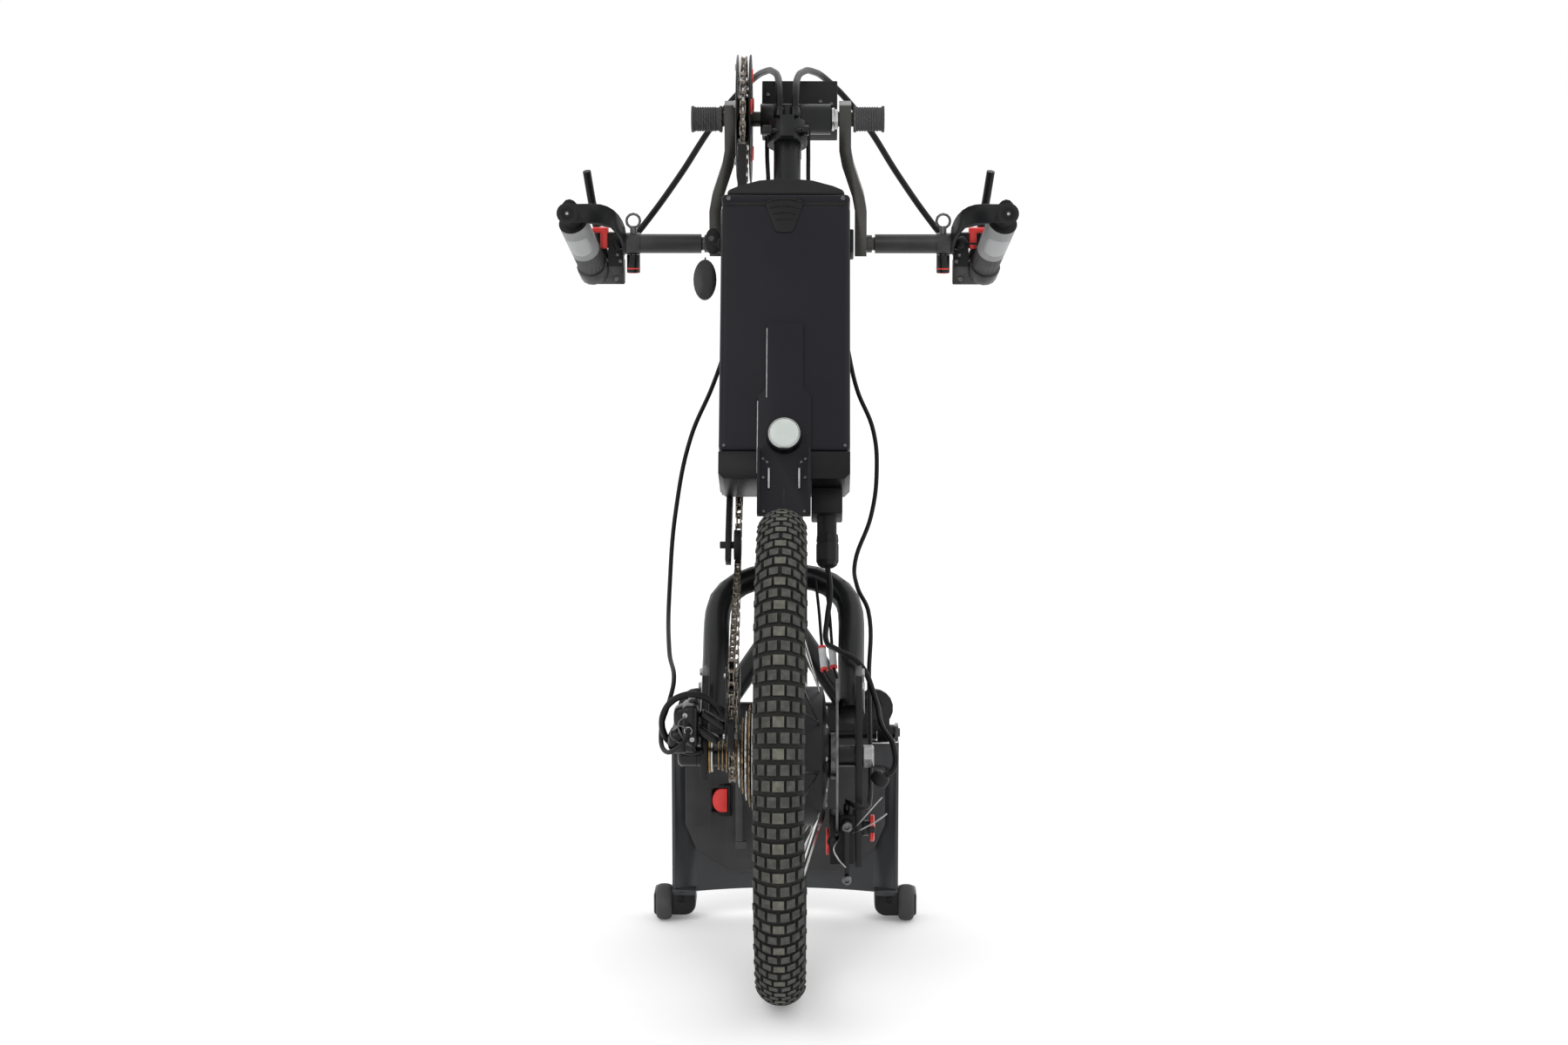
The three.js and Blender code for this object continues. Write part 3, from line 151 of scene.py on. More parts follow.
@dataclass(frozen=True)
class Finish:
    """A surface: its colour, gloss and grain, with patches of a second colour.

    Patches and grain are given by how far apart they lie, in metres.
    """

    name: str
    colour: Colour
    worn: Colour
    roughness: float
    metallic: float = 0.0
    coat: float = 0.0
    sheen: float = 0.0
    spread: float = 0.12
    patch: float = 0.03
    grain: float = 0.0012
    depth: float = 0.00006
    stretch: Point = (1.0, 1.0, 1.0)
    shine: float = 0.5
    coat_roughness: float = 0.25
    octaves: tuple = (4.0, 3.0)
    mixed: tuple = (0.38, 0.72)

    def material(self) -> bpy.types.Material:
        """Give the finish's material, made the first time that it is asked for."""
        known = bpy.data.materials.get(self.name)
        if known:
            return known
        material = bpy.data.materials.new(self.name)
        material.use_nodes = True
        tree = material.node_tree
        shader = tree.nodes["Principled BSDF"]
        levels = {
            "Metallic": self.metallic, "Coat Weight": self.coat, "Coat Roughness": self.coat_roughness,
            "Sheen Weight": self.sheen, "Specular IOR Level": self.shine,
        }
        for name, level in levels.items():
            shader.inputs[name].default_value = level
        place = self.mapped(tree)
        patches = self.noise(tree, place, 1 / self.patch, self.octaves[0])
        self.paint(tree, shader, patches)
        fine = self.noise(tree, place, 1 / self.grain, self.octaves[1])
        self.roughen(tree, shader, fine)
        height = self.relief(tree, place, fine)
        bump = tree.nodes.new("ShaderNodeBump")
        bump.inputs["Distance"].default_value = self.depth
        bump.inputs["Strength"].default_value = 1.0
        tree.links.new(height, bump.inputs["Height"])
        tree.links.new(bump.outputs["Normal"], shader.inputs["Normal"])
        self.extra(tree, shader)
        return material

    def mapped(self, tree: bpy.types.NodeTree) -> bpy.types.NodeSocket:
        """Add object coordinates, drawn out along the finish's grain."""
        source = tree.nodes.new("ShaderNodeTexCoord")
        mapping = tree.nodes.new("ShaderNodeMapping")
        mapping.inputs["Scale"].default_value = self.stretch
        tree.links.new(source.outputs["Object"], mapping.inputs["Vector"])
        return mapping.outputs["Vector"]

    @staticmethod
    def noise(
        tree: bpy.types.NodeTree, place: bpy.types.NodeSocket, scale: float, detail: float
    ) -> bpy.types.NodeSocket:
        """Add a noise texture.

        Args:
            tree: The material's nodes.
            place: Where the texture is read.
            scale: Cells to a metre.
            detail: Octaves of finer noise.

        Returns:
            The noise's height.
        """
        texture = tree.nodes.new("ShaderNodeTexNoise")
        texture.inputs["Scale"].default_value = scale
        texture.inputs["Detail"].default_value = detail
        tree.links.new(place, texture.inputs["Vector"])
        return texture.outputs["Fac"]

    def paint(self, tree: bpy.types.NodeTree, shader: bpy.types.Node, patches: bpy.types.NodeSocket) -> None:
        """Mix the two colours by the patches."""
        ramp = tree.nodes.new("ShaderNodeValToRGB")
        for stop, position, colour in zip(ramp.color_ramp.elements, self.mixed, (self.colour, self.worn)):
            stop.position = position
            stop.color = (*colour, 1.0)
        tree.links.new(patches, ramp.inputs["Fac"])
        tree.links.new(ramp.outputs["Color"], shader.inputs["Base Color"])

    def roughen(self, tree: bpy.types.NodeTree, shader: bpy.types.Node, fine: bpy.types.NodeSocket) -> None:
        """Vary the roughness a little with the grain."""
        spread = tree.nodes.new("ShaderNodeMapRange")
        spread.inputs["To Min"].default_value = max(self.roughness - self.spread, 0.03)
        spread.inputs["To Max"].default_value = min(self.roughness + self.spread, 1.0)
        tree.links.new(fine, spread.inputs["Value"])
        tree.links.new(spread.outputs["Result"], shader.inputs["Roughness"])

    def relief(
        self, tree: bpy.types.NodeTree, place: bpy.types.NodeSocket, fine: bpy.types.NodeSocket
    ) -> bpy.types.NodeSocket:
        """Give the height that the bump reads, the plain grain unless a kind of finish says else."""
        return fine

    def extra(self, tree: bpy.types.NodeTree, shader: bpy.types.Node) -> None:
        """Leave room for what a kind of finish adds to the shader."""


@dataclass(frozen=True)
class Hatched(Finish):
    """Rubber moulded with fine slanting ribs.

    At the scale in bands the wave texture's bands lie two metres apart along an axis.
    """

    rib: float = 0.0035
    bands: float = 0.314

    def relief(
        self, tree: bpy.types.NodeTree, place: bpy.types.NodeSocket, fine: bpy.types.NodeSocket
    ) -> bpy.types.NodeSocket:
        """Give the ribs' height from slanting bands."""
        bands = tree.nodes.new("ShaderNodeTexWave")
        bands.bands_direction = "DIAGONAL"
        bands.inputs["Scale"].default_value = self.bands / self.rib
        bands.inputs["Distortion"].default_value = 0.0
        tree.links.new(place, bands.inputs["Vector"])
        return bands.outputs["Fac"]


@dataclass(frozen=True)
class Frosted(Finish):
    """A clear plastic lens with a frosted face."""

    through: float = 0.35
    bending: float = 1.45

    def extra(self, tree: bpy.types.NodeTree, shader: bpy.types.Node) -> None:
        """Let some light through."""
        shader.inputs["Transmission Weight"].default_value = self.through
        shader.inputs["IOR"].default_value = self.bending


class Finishes:
    """The finishes that the handcycle is dressed in."""

    PAINT = Finish(
        "satin_black_paint", grey(0.085, 0.006), grey(0.105, 0.006), 0.34, coat=0.12, spread=0.05, shine=0.2,
    )
    DARK_PAINT = Finish(
        "deep_black_paint", grey(0.06, 0.005), grey(0.075, 0.005), 0.36, coat=0.06, spread=0.05, shine=0.16,
    )
    GLOSS_PAINT = Finish(
        "gloss_black_paint", grey(0.21, 0.008), grey(0.24, 0.008), 0.24, coat=0.35, spread=0.04, patch=0.08,
        depth=0.00002, shine=0.3,
    )
    CASE = Finish(
        "battery_shell", screen(0.094, 0.094, 0.114), screen(0.108, 0.108, 0.128), 0.4,
        spread=0.06, patch=0.09, grain=0.0007, depth=0.00002, shine=0.16,
    )
    PANEL = Finish(
        "stand_panel", grey(0.225), grey(0.25), 0.42, coat=0.06, spread=0.05, grain=0.0006, depth=0.00004,
        shine=0.25,
    )
    SLEEVE = Finish("sleeve_paint", grey(0.2), grey(0.235), 0.34, coat=0.08, spread=0.05, shine=0.25)
    PLASTIC = Finish(
        "moulded_black", grey(0.095), grey(0.12), 0.5, spread=0.08, grain=0.0006, depth=0.00004, shine=0.18,
    )
    GLOSSY = Finish("glossy_black", grey(0.04), grey(0.055), 0.25, coat=0.18, spread=0.05, shine=0.22)
    STEEL = Finish(
        "turned_steel", grey(0.66), grey(0.56), 0.28, 1.0, spread=0.1, patch=0.006, grain=0.0009,
        stretch=(0.25, 1.0, 1.0),
    )
    SILVER = Finish("silver_plate", grey(0.76), grey(0.66), 0.22, 1.0, spread=0.08, patch=0.01)
    CAP = Finish(
        "battery_cap", screen(0.085, 0.085, 0.086), screen(0.11, 0.108, 0.107), 0.42, coat=0.05, patch=0.04,
        shine=0.22,
    )
    GREY_BAR = Finish("grey_bar", grey(0.25), grey(0.29), 0.45, patch=0.02, shine=0.3)
    GOLD = Finish("gold_washer", screen(0.72, 0.58, 0.30), screen(0.62, 0.50, 0.27), 0.3, 1.0, patch=0.008)
    BRONZE = Finish(
        "bronze_cogs", screen(0.60, 0.51, 0.38), screen(0.46, 0.41, 0.34), 0.34, 1.0, patch=0.012, spread=0.1,
    )
    LINKS = Finish("oiled_links", screen(0.30, 0.27, 0.24), screen(0.66, 0.63, 0.58), 0.36, 1.0, patch=0.0035)
    ARM = Finish(
        "bronze_grey_anodised", screen(0.25, 0.247, 0.24), screen(0.30, 0.295, 0.285), 0.3, 0.75,
        spread=0.06, patch=0.05, grain=0.0008,
    )
    CLAMP = Finish("grey_clamp", grey(0.27), grey(0.2), 0.35, 0.5, patch=0.015)
    SHELL = Finish("hub_shell", grey(0.085), grey(0.105), 0.38, 0.1, spread=0.06, shine=0.25)
    CASING = Finish(
        "tyre_casing", grey(0.155, -0.003), grey(0.19, -0.004), 0.88, grain=0.0011, depth=0.00012, shine=0.12,
    )
    TREAD = Finish(
        "worn_tread", screen(0.33, 0.33, 0.303), screen(0.43, 0.425, 0.388), 0.85, patch=0.006, grain=0.0009,
        depth=0.00015, shine=0.3,
    )
    FLANK = Finish(
        "flank_tread", screen(0.25, 0.25, 0.24), screen(0.33, 0.327, 0.31), 0.85, patch=0.006, grain=0.0009,
        depth=0.00015, shine=0.3,
    )
    EDGE = Finish(
        "edge_tread", screen(0.23, 0.23, 0.222), screen(0.3, 0.298, 0.287), 0.88, patch=0.006, grain=0.0009,
        depth=0.00015, shine=0.25,
    )
    RUBBER = Finish("soft_rubber", grey(0.27), grey(0.32), 0.7, grain=0.0008, depth=0.00006, shine=0.2)
    RIBBED = Hatched("ribbed_rubber", grey(0.27), grey(0.34), 0.66, depth=0.0006, rib=0.0036, shine=0.22)
    GRIP = Finish(
        "grey_grip_rubber", grey(0.57, 0.004), grey(0.52, 0.004), 0.6, sheen=0.15, patch=0.03, grain=0.0007,
        depth=0.00008, shine=0.35,
    )
    PAD = Finish(
        "pale_grip_pad", grey(0.67, 0.004), grey(0.64, 0.004), 0.5, patch=0.02, grain=0.0007, depth=0.00005,
    )
    DISC = Finish("brake_disc_steel", grey(0.46), grey(0.32), 0.34, 1.0, patch=0.01, grain=0.0008)
    WIRE = Finish("dark_wire", grey(0.42), grey(0.3), 0.3, 1.0, patch=0.004)
    CABLE = Finish("cable_jacket", grey(0.055), grey(0.075), 0.42, patch=0.02, depth=0.00003, shine=0.2)
    PALE = Finish("pale_sleeve", grey(0.84, 0.01), grey(0.78, 0.01), 0.45, patch=0.01)
    RED = Finish(
        "coral_red", screen(0.92, 0.23, 0.215), screen(0.86, 0.19, 0.18), 0.38, coat=0.15, patch=0.01,
        shine=0.4,
    )
    LENS = Frosted(
        "frosted_lens", screen(0.93, 0.95, 0.935), screen(0.88, 0.915, 0.895), 0.22, grain=0.0016,
        depth=0.00003,
    )
    TAG = Finish("plain_tag", grey(0.08), grey(0.11), 0.25, 0.1, coat=0.3, patch=0.012, shine=0.3)


class Bench:
    """Modelling moves that the builders share, most of them with Blender's own editing tools."""

    nodes: dict[str, bpy.types.Object] = {}
    weld = 0.000002
    skin_weld = 0.00001
    skin_flat = 0.5

    @staticmethod
    def clear() -> None:
        """Deselect everything and leave edit mode."""
        if bpy.context.mode != "OBJECT":
            bpy.ops.object.mode_set(mode="OBJECT")
        bpy.ops.object.select_all(action="DESELECT")

    @classmethod
    def take(cls, *pieces: bpy.types.Object) -> None:
        """Select some pieces alone, the first of them active."""
        cls.clear()
        for piece in pieces:
            piece.select_set(True)
        bpy.context.view_layer.objects.active = pieces[0]

    @staticmethod
    def edit() -> None:
        """Open the active piece in edit mode with its whole mesh selected."""
        bpy.ops.object.mode_set(mode="EDIT")
        bpy.ops.mesh.select_all(action="SELECT")

    @staticmethod
    def leave() -> None:
        """Turn the open mesh's faces outwards and leave edit mode."""
        bpy.ops.mesh.select_all(action="SELECT")
        bpy.ops.mesh.normals_make_consistent(inside=False)
        bpy.ops.object.mode_set(mode="OBJECT")

    @staticmethod
    def apply() -> None:
        """Apply the place, turn and scale of what is selected."""
        bpy.ops.object.transform_apply(location=True, rotation=True, scale=True)

    @classmethod
    def cube(cls, middle: Point) -> bpy.types.Object:
        """Add a cube one metre wide."""
        cls.clear()
        bpy.ops.mesh.primitive_cube_add(size=1.0, location=middle)
        return bpy.context.object

    @classmethod
    def line(cls, points: list[Point]) -> bpy.types.Object:
        """Start a mesh as edges through some points, left open in edit mode with all of it selected."""
        cls.clear()
        bpy.ops.mesh.primitive_plane_add(size=0.001, location=(0, 0, 0))
        piece = bpy.context.object
        cls.edit()
        bpy.ops.mesh.merge(type="CENTER")
        bpy.ops.transform.translate(value=points[0])
        for start, end in zip(points, points[1:]):
            step = tuple(b - a for a, b in zip(start, end))
            bpy.ops.mesh.extrude_region_move(TRANSFORM_OT_translate={"value": step})
        bpy.ops.mesh.select_all(action="SELECT")
        return piece

    @classmethod
    def settle(cls, piece: bpy.types.Object, name: str) -> bpy.types.Object:
        """Apply a piece's modifiers and its place, and name it.

        Args:
            piece: The object to finish.
            name: Its name from now on.

        Returns:
            The same object at the origin, unturned and unscaled.
        """
        cls.take(piece)
        for modifier in list(piece.modifiers):
            bpy.ops.object.modifier_apply(modifier=modifier.name)
        cls.apply()
        return cls.named(piece, name)

    @staticmethod
    def named(piece: bpy.types.Object, name: str) -> bpy.types.Object:
        """Name a piece and its mesh."""
        piece.name = name
        piece.data.name = name
        return piece

    @staticmethod
    def turned_to(axis: Vector) -> tuple[float, float, float]:
        """Give the angles that turn local Z towards an axis."""
        return tuple(Vector(axis).to_track_quat("Z", "Y").to_euler())

    @classmethod
    def soften(cls, piece: bpy.types.Object, width: float, segments: int = 2, angle: float = 35.0) -> None:
        """Round the sharp edges with a bevel and shade the rest smooth.

        Args:
            piece: The object to soften.
            width: The bevel's width.
            segments: Steps across it.
            angle: Edges sharper than this many degrees are rounded.
        """
        cls.take(piece)
        if width > 0:
            bevel = piece.modifiers.new("edge", "BEVEL")
            bevel.width = width
            bevel.segments = segments
            bevel.limit_method = "ANGLE"
            bevel.angle_limit = math.radians(angle)
            bevel.harden_normals = False
            bpy.ops.object.modifier_apply(modifier=bevel.name)
        bpy.ops.object.shade_smooth_by_angle(angle=math.radians(angle))

    @classmethod
    def box(
        cls, name: str, low: Point, high: Point, bevel: float = 0.0006, segments: int = 2,
        turn: Matrix | None = None,
    ) -> bpy.types.Object:
        """Add a rounded block between two corners.

        Args:
            name: The piece's name.
            low: Its lowest corner.
            high: Its highest corner.
            bevel: The radius of its edges.
            segments: Steps across each edge.
            turn: A place that the corners are written in, such as the raked column's.

        Returns:
            The finished block.
        """
        middle = [(a + b) / 2 for a, b in zip(low, high)]
        size = [b - a for a, b in zip(low, high)]
        piece = cls.cube(middle)
        piece.scale = size
        if turn is not None:
            piece.matrix_world = turn @ Matrix.Translation(middle) @ Matrix.Diagonal((*size, 1.0))
        cls.apply()
        cls.soften(piece, bevel, segments)
        return cls.settle(piece, name)

    @classmethod
    def lathe(
        cls, name: str, profile: Profile, start: Point, axis: Point, sides: int = 48, angle: float = 32.0,
    ) -> bpy.types.Object:
        """Spin a profile round an axis.

        Args:
            name: The piece's name.
            profile: Pairs of distance along the axis and radius.
            start: Where the axis begins.
            axis: Which way it points.
            sides: Steps round the turn.
            angle: Edges flatter than this many degrees are shaded smooth.

        Returns:
            The finished turned piece.
        """
        piece = cls.line([(radius, 0.0, along) for along, radius in profile])
        bpy.ops.mesh.spin(steps=sides, angle=2 * math.pi, center=(0, 0, 0), axis=(0, 0, 1))
        bpy.ops.mesh.select_all(action="SELECT")
        bpy.ops.mesh.remove_doubles(threshold=cls.weld)
        cls.leave()
        piece.location = start
        piece.rotation_euler = cls.turned_to(Vector(axis))
        cls.soften(piece, 0.0, angle=angle)
        return cls.settle(piece, name)

    @classmethod
    def rod(
        cls, name: str, start: Point, end: Point, radius: float, sides: int = 32, bevel: float = 0.0005,
    ) -> bpy.types.Object:
        """Add a round bar with rounded ends between two points."""
        way = Vector(end) - Vector(start)
        length = way.length
        edge = min(bevel, radius * 0.45, length * 0.45)
        soft = edge * 0.3
        profile = [
            (0.0, 0.0), (0.0, radius - edge), (soft, radius - soft), (edge, radius), (length - edge, radius),
            (length - soft, radius - soft), (length, radius - edge), (length, 0.0),
        ]
        return cls.lathe(name, profile, start, way, sides)

    @classmethod
    def tube(cls, name: str, points: list[Point], radius: float, sides: int = 3) -> bpy.types.Object:
        """Lead a round tube smoothly through some points.

        Args:
            name: The piece's name.
            points: The places that its middle passes.
            radius: Its radius.
            sides: Blender's resolution of the round.

        Returns:
            The finished tube as a mesh.
        """
        cls.clear()
        curve = bpy.data.curves.new(name, "CURVE")
        curve.dimensions = "3D"
        curve.bevel_depth = radius
        curve.bevel_resolution = sides
        curve.use_fill_caps = True
        curve.resolution_u = 8
        spline = curve.splines.new("BEZIER")
        spline.bezier_points.add(len(points) - 1)
        for place, point in zip(spline.bezier_points, points):
            place.co = point
            place.handle_left_type = "AUTO"
            place.handle_right_type = "AUTO"
        piece = bpy.data.objects.new(name, curve)
        bpy.context.collection.objects.link(piece)
        cls.take(piece)
        bpy.ops.object.convert(target="MESH")
        piece = bpy.context.object
        cls.soften(piece, 0.0, angle=45.0)
        return cls.settle(piece, name)

    @classmethod
    def plate(
        cls, name: str, outline: Profile, thickness: float, turn: Matrix, bevel: float = 0.0005,
    ) -> bpy.types.Object:
        """Fill an outline and raise it into a plate.

        Args:
            name: The piece's name.
            outline: Corners as (x, z) pairs in the plane that the matrix gives.
            thickness: How far the plate rises from that plane towards -Y.
            turn: The plane's place.
            bevel: The radius of its edges.

        Returns:
            The finished plate.
        """
        piece = cls.line([(x, 0.0, z) for x, z in outline])
        bpy.ops.mesh.edge_face_add()
        bpy.ops.mesh.select_all(action="SELECT")
        bpy.ops.mesh.extrude_region_move(TRANSFORM_OT_translate={"value": (0.0, -thickness, 0.0)})
        cls.leave()
        piece.matrix_world = turn
        cls.apply()
        cls.soften(piece, bevel, 2, 30.0)
        return cls.settle(piece, name)

    @classmethod
    def join(cls, name: str, pieces: list[bpy.types.Object]) -> bpy.types.Object:
        """Join pieces of one finish into one object."""
        cls.take(*pieces)
        if len(pieces) > 1:
            bpy.ops.object.join()
        return cls.named(bpy.context.object, name)

    @classmethod
    def repeat(cls, piece: bpy.types.Object, count: int, centre: Point, axis: Point) -> bpy.types.Object:
        """Copy a piece's mesh round an axis until it fills the turn.

        Args:
            piece: The shape that is copied.
            count: How many there are in all.
            centre: A point on the axis.
            axis: Which way it points.

        Returns:
            The piece with all its copies.
        """
        cls.take(piece)
        cls.edit()
        turn = 2 * math.pi * (count - 1) / count
        bpy.ops.mesh.spin(steps=count - 1, dupli=True, angle=turn, center=centre, axis=axis)
        bpy.ops.object.mode_set(mode="OBJECT")
        return piece

    @classmethod
    def cut(cls, piece: bpy.types.Object, tool: bpy.types.Object) -> None:
        """Cut a tool's shape out of a piece and remove the tool."""
        cls.take(piece)
        modifier = piece.modifiers.new("cut", "BOOLEAN")
        modifier.operation = "DIFFERENCE"
        modifier.solver = "EXACT"
        modifier.object = tool
        bpy.ops.object.modifier_apply(modifier=modifier.name)
        bpy.data.objects.remove(tool)

    @classmethod
    def skin(cls, node: str, bevel: float, angle: float = 35.0) -> bpy.types.Object:
        """Copy one of the frame's solids, merge it and round its edges.

        Args:
            node: The solid's name.
            bevel: The radius of its edges, or 0 to leave them.
            angle: Edges sharper than this many degrees are rounded.

        Returns:
            The softened copy, which stands for the solid.
        """
        cls.clear()
        source = cls.nodes[node]
        piece = source.copy()
        piece.data = source.data.copy()
        piece.parent = None
        piece.matrix_world = source.matrix_world.copy()
        bpy.context.collection.objects.link(piece)
        cls.take(piece)
        cls.edit()
        bpy.ops.mesh.remove_doubles(threshold=cls.skin_weld)
        bpy.ops.mesh.dissolve_limited(angle_limit=math.radians(cls.skin_flat))
        bpy.ops.object.mode_set(mode="OBJECT")
        cls.soften(piece, bevel, 2, angle)
        cls.settle(piece, f"{node}_skin")
        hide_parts(node)
        return piece


def dress(piece: bpy.types.Object, finish: Finish, body: Body | str, slot: str) -> bpy.types.Object:
    """Give a piece its finish and the body that it rides on.

    Args:
        piece: The finished object.
        finish: What its surface is made of.
        body: The body that carries it.
        slot: The record's material slot; not used.

    Returns:
        The same object.
    """
    piece.data.materials.clear()
    piece.data.materials.append(finish.material())
    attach(piece, body.value if isinstance(body, Body) else body)
    LOG.info("%s: %d faces, %s", piece.name, len(piece.data.polygons), finish.name)
    return piece


@dataclass
class Place:
    """Points of the frame that several builders share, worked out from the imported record."""

    joints: dict[str, Vector] = field(default_factory=dict)
    tilt: float = 0.0

    @classmethod
    def read(cls, record: dict) -> "Place":
        """Read the joints' places and the column's tilt from the record."""
        behaviour = record["behaviour"]
        joints = {j["name"]: Vector(j["pos_m"]) for j in behaviour["joints"] if "pos_m" in j}
        axis = next(j["axis"] for j in behaviour["joints"] if j["name"] == "steering")
        return cls(joints, math.atan2(axis[1], axis[2]))

    @property
    def axle(self) -> Vector:
        """Give the middle of the wheel."""
        return self.joints["wheel_spin"]

    @property
    def crank(self) -> Vector:
        """Give the middle of the crank's axle."""
        return self.joints["crank_turn"]

    @property
    def spindle(self) -> Vector:
        """Give the middle of the handles' common axis."""
        return self.joints["handle_left_spin"]

    @property
    def column(self) -> Matrix:
        """Give the raked column's frame: Z up along it, Y straight back from it."""
        return Matrix.Translation(self.joints["steering"]) @ Matrix.Rotation(-self.tilt, 4, "X")

    def raked(self, x: float, back: float, along: float) -> Vector:
        """Turn a place in the column's frame into a place in the row's."""
        return self.column @ Vector((x, back, along))

    def back(self) -> Vector:
        """Give the direction straight back from the column."""
        return self.column.to_3x3() @ Vector((0, 1, 0))


@dataclass
class Screw:
    """A cap screw, its edge and socket given as shares of its radius and height."""

    radius: float
    height: float
    edge: float = 0.18
    socket: float = 0.48
    deep: float = 0.55

    def build(self, name: str, seat: Point, axis: Point) -> bpy.types.Object:
        """Turn the head with its round socket.

        Args:
            name: The piece's name.
            seat: Where its underside rests.
            axis: Which way its head points.

        Returns:
            The finished screw.
        """
        edge = self.radius * self.edge
        hole = self.radius * self.socket
        floor = self.height - self.height * self.deep
        profile = [
            (0.0, 0.0), (0.0, self.radius), (self.height - edge, self.radius),
            (self.height, self.radius - edge), (self.height, hole), (floor, hole), (floor, 0.0),
        ]
        return Bench.lathe(name, profile, seat, axis, 24)


@dataclass
class Wheel:
    """The tyre with its tread, the rim and spokes, the motor hub and the brake disc."""

    place: Place
    middle: float = 228 * MM
    section: float = 27 * MM
    tread_height: float = 2.2 * MM
    bead: float = 132.0
    steps: int = 26
    rib: float = 0.5 * MM
    ribbed: tuple = (5, 21)
    pairs: int = 52
    centre: float = 11.0 * MM
    flank: float = 8.9 * MM
    long: float = 10.4 * MM
    edge_share: tuple = (0.75, 0.8)
    top_inset: float = 0.07
    top_rise: float = 0.05
    hub_screws: int = 9
    rotor_holes: int = 24

    def build(self) -> None:
        """Build every piece of the wheel."""
        self.casing()
        self.tread()
        self.rim()
        self.hub()
        self.rotor()

    def casing(self) -> None:
        """Spin the tyre's casing with its sidewall ribs."""
        outer = self.section - self.tread_height
        bead = math.radians(self.bead)
        profile = []
        for i in range(self.steps + 1):
            angle = bead * (2 * i / self.steps - 1)
            reach = outer + (self.rib if i in self.ribbed else 0.0)
            profile.append((math.sin(angle) * reach, self.middle + math.cos(angle) * reach))
        profile.append(profile[0])
        start = self.place.axle
        casing = Bench.lathe("tyre_casing", profile, start, (1, 0, 0), 128, 50.0)
        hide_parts("tyre")
        dress(casing, Finishes.CASING, Body.WHEEL, "tyre")

    def block(self, phi: float, theta: float, width: float, length: float, top: Finish) -> bpy.types.Object:
        """Model one tread block with a worn top.

        Args:
            phi: Its angle round the tyre's section.
            theta: Its angle round the wheel.
            width: Its size across.
            length: Its size along the tread.
            top: The finish of its worn top.

        Returns:
            The block with its top in that finish.
        """
        height = self.tread_height * 2
        reach = self.section - height / 2
        block = Bench.cube((0, 0, 0))
        bpy.ops.object.mode_set(mode="EDIT")
        mesh = bmesh.from_edit_mesh(block.data)
        for face in mesh.faces:
            face.select_set(face.normal.z > 0.5)
        bmesh.update_edit_mesh(block.data)
        bpy.ops.mesh.inset(thickness=self.top_inset, depth=self.top_rise)
        bpy.ops.object.mode_set(mode="OBJECT")
        block.data.materials.append(Finishes.CASING.material())
        block.data.materials.append(top.material())
        for face in block.data.polygons:
            face.material_index = 1 if face.normal.z > 0.3 else 0
        local = Matrix.Translation((math.sin(phi) * reach, 0.0, self.middle + math.cos(phi) * reach))
        local = local @ Matrix.Rotation(phi, 4, "Y") @ Matrix.Diagonal((width, length, height, 1.0))
        spin = Matrix.Rotation(theta, 4, "X")
        block.matrix_world = Matrix.Translation(self.place.axle) @ spin @ local
        Bench.apply()
        return block

    def tread(self) -> None:
        """Lay the blocks of one pair of rows and repeat them round the wheel."""
        pitch = 2 * math.pi / self.pairs
        flank = (self.flank, self.long)
        edge = (self.flank * self.edge_share[0], self.long * self.edge_share[1])
        rows = [
            (0.0, 0.0, (self.centre, self.long), Finishes.TREAD), (0.0, 0.46, flank, Finishes.FLANK),
            (0.0, 0.93, flank, Finishes.EDGE), (0.5, 0.235, flank, Finishes.FLANK),
            (0.5, 0.67, flank, Finishes.EDGE), (0.5, 1.1, edge, Finishes.EDGE),
        ]
        blocks = []
        for share, phi, (width, length), top in rows:
            ring = (self.middle + self.section * math.cos(phi)) / (self.middle + self.section)
            for sign in ((1,) if phi == 0.0 else (-1, 1)):
                blocks.append(self.block(sign * phi, share * pitch, width, length * ring, top))
        pair = Bench.join("tyre_tread", blocks)
        tread = Bench.repeat(pair, self.pairs, self.place.axle, (1, 0, 0))
        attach(tread, Body.WHEEL.value)
        LOG.info("%s: %d faces", tread.name, len(tread.data.polygons))

    def rim(self) -> None:
        """Finish the rim and its spokes."""
        rim = Bench.skin("rim_and_spokes", 0.0, 30.0)
        dress(rim, Finishes.SILVER, Body.WHEEL, "steel")

    def hub(self) -> None:
        """Turn the motor hub with its ribs and cover screws."""
        low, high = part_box("hub_motor_shell")
        left, right = low[0], high[0]
        radius = (high[2] - low[2]) / 2
        bore = 6.6 * MM
        step = 3.0 * MM
        profile = [
            (left, bore), (left, radius * 0.55), (left + step, radius * 0.78),
            (left + step * 1.2, radius * 0.84), (left + step * 2, radius * 0.985),
            (left + step * 2.6, radius), (right - step * 3.4, radius), (right - step * 2.8, radius * 0.985),
            (right - step * 2, radius * 0.86), (right - step * 1.8, radius * 0.80),
            (right - step * 0.6, radius * 0.35), (right, radius * 0.26), (right, bore), (left, bore),
        ]
        shell = Bench.lathe("hub_shell", profile, (0, self.place.axle.y, self.place.axle.z), (1, 0, 0), 72)
        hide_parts("hub_motor_shell")
        dress(shell, Finishes.SHELL, Body.WHEEL, "shell")
        seat = Vector((right - step * 1.6, self.place.axle.y, self.place.axle.z + radius * 0.7))
        screw = Screw(*mm(2.6, 1.6)).build("hub_screw", seat, (1, 0, 0))
        screws = Bench.repeat(screw, self.hub_screws, self.place.axle, (1, 0, 0))
        dress(screws, Finishes.STEEL, Body.WHEEL, "steel")

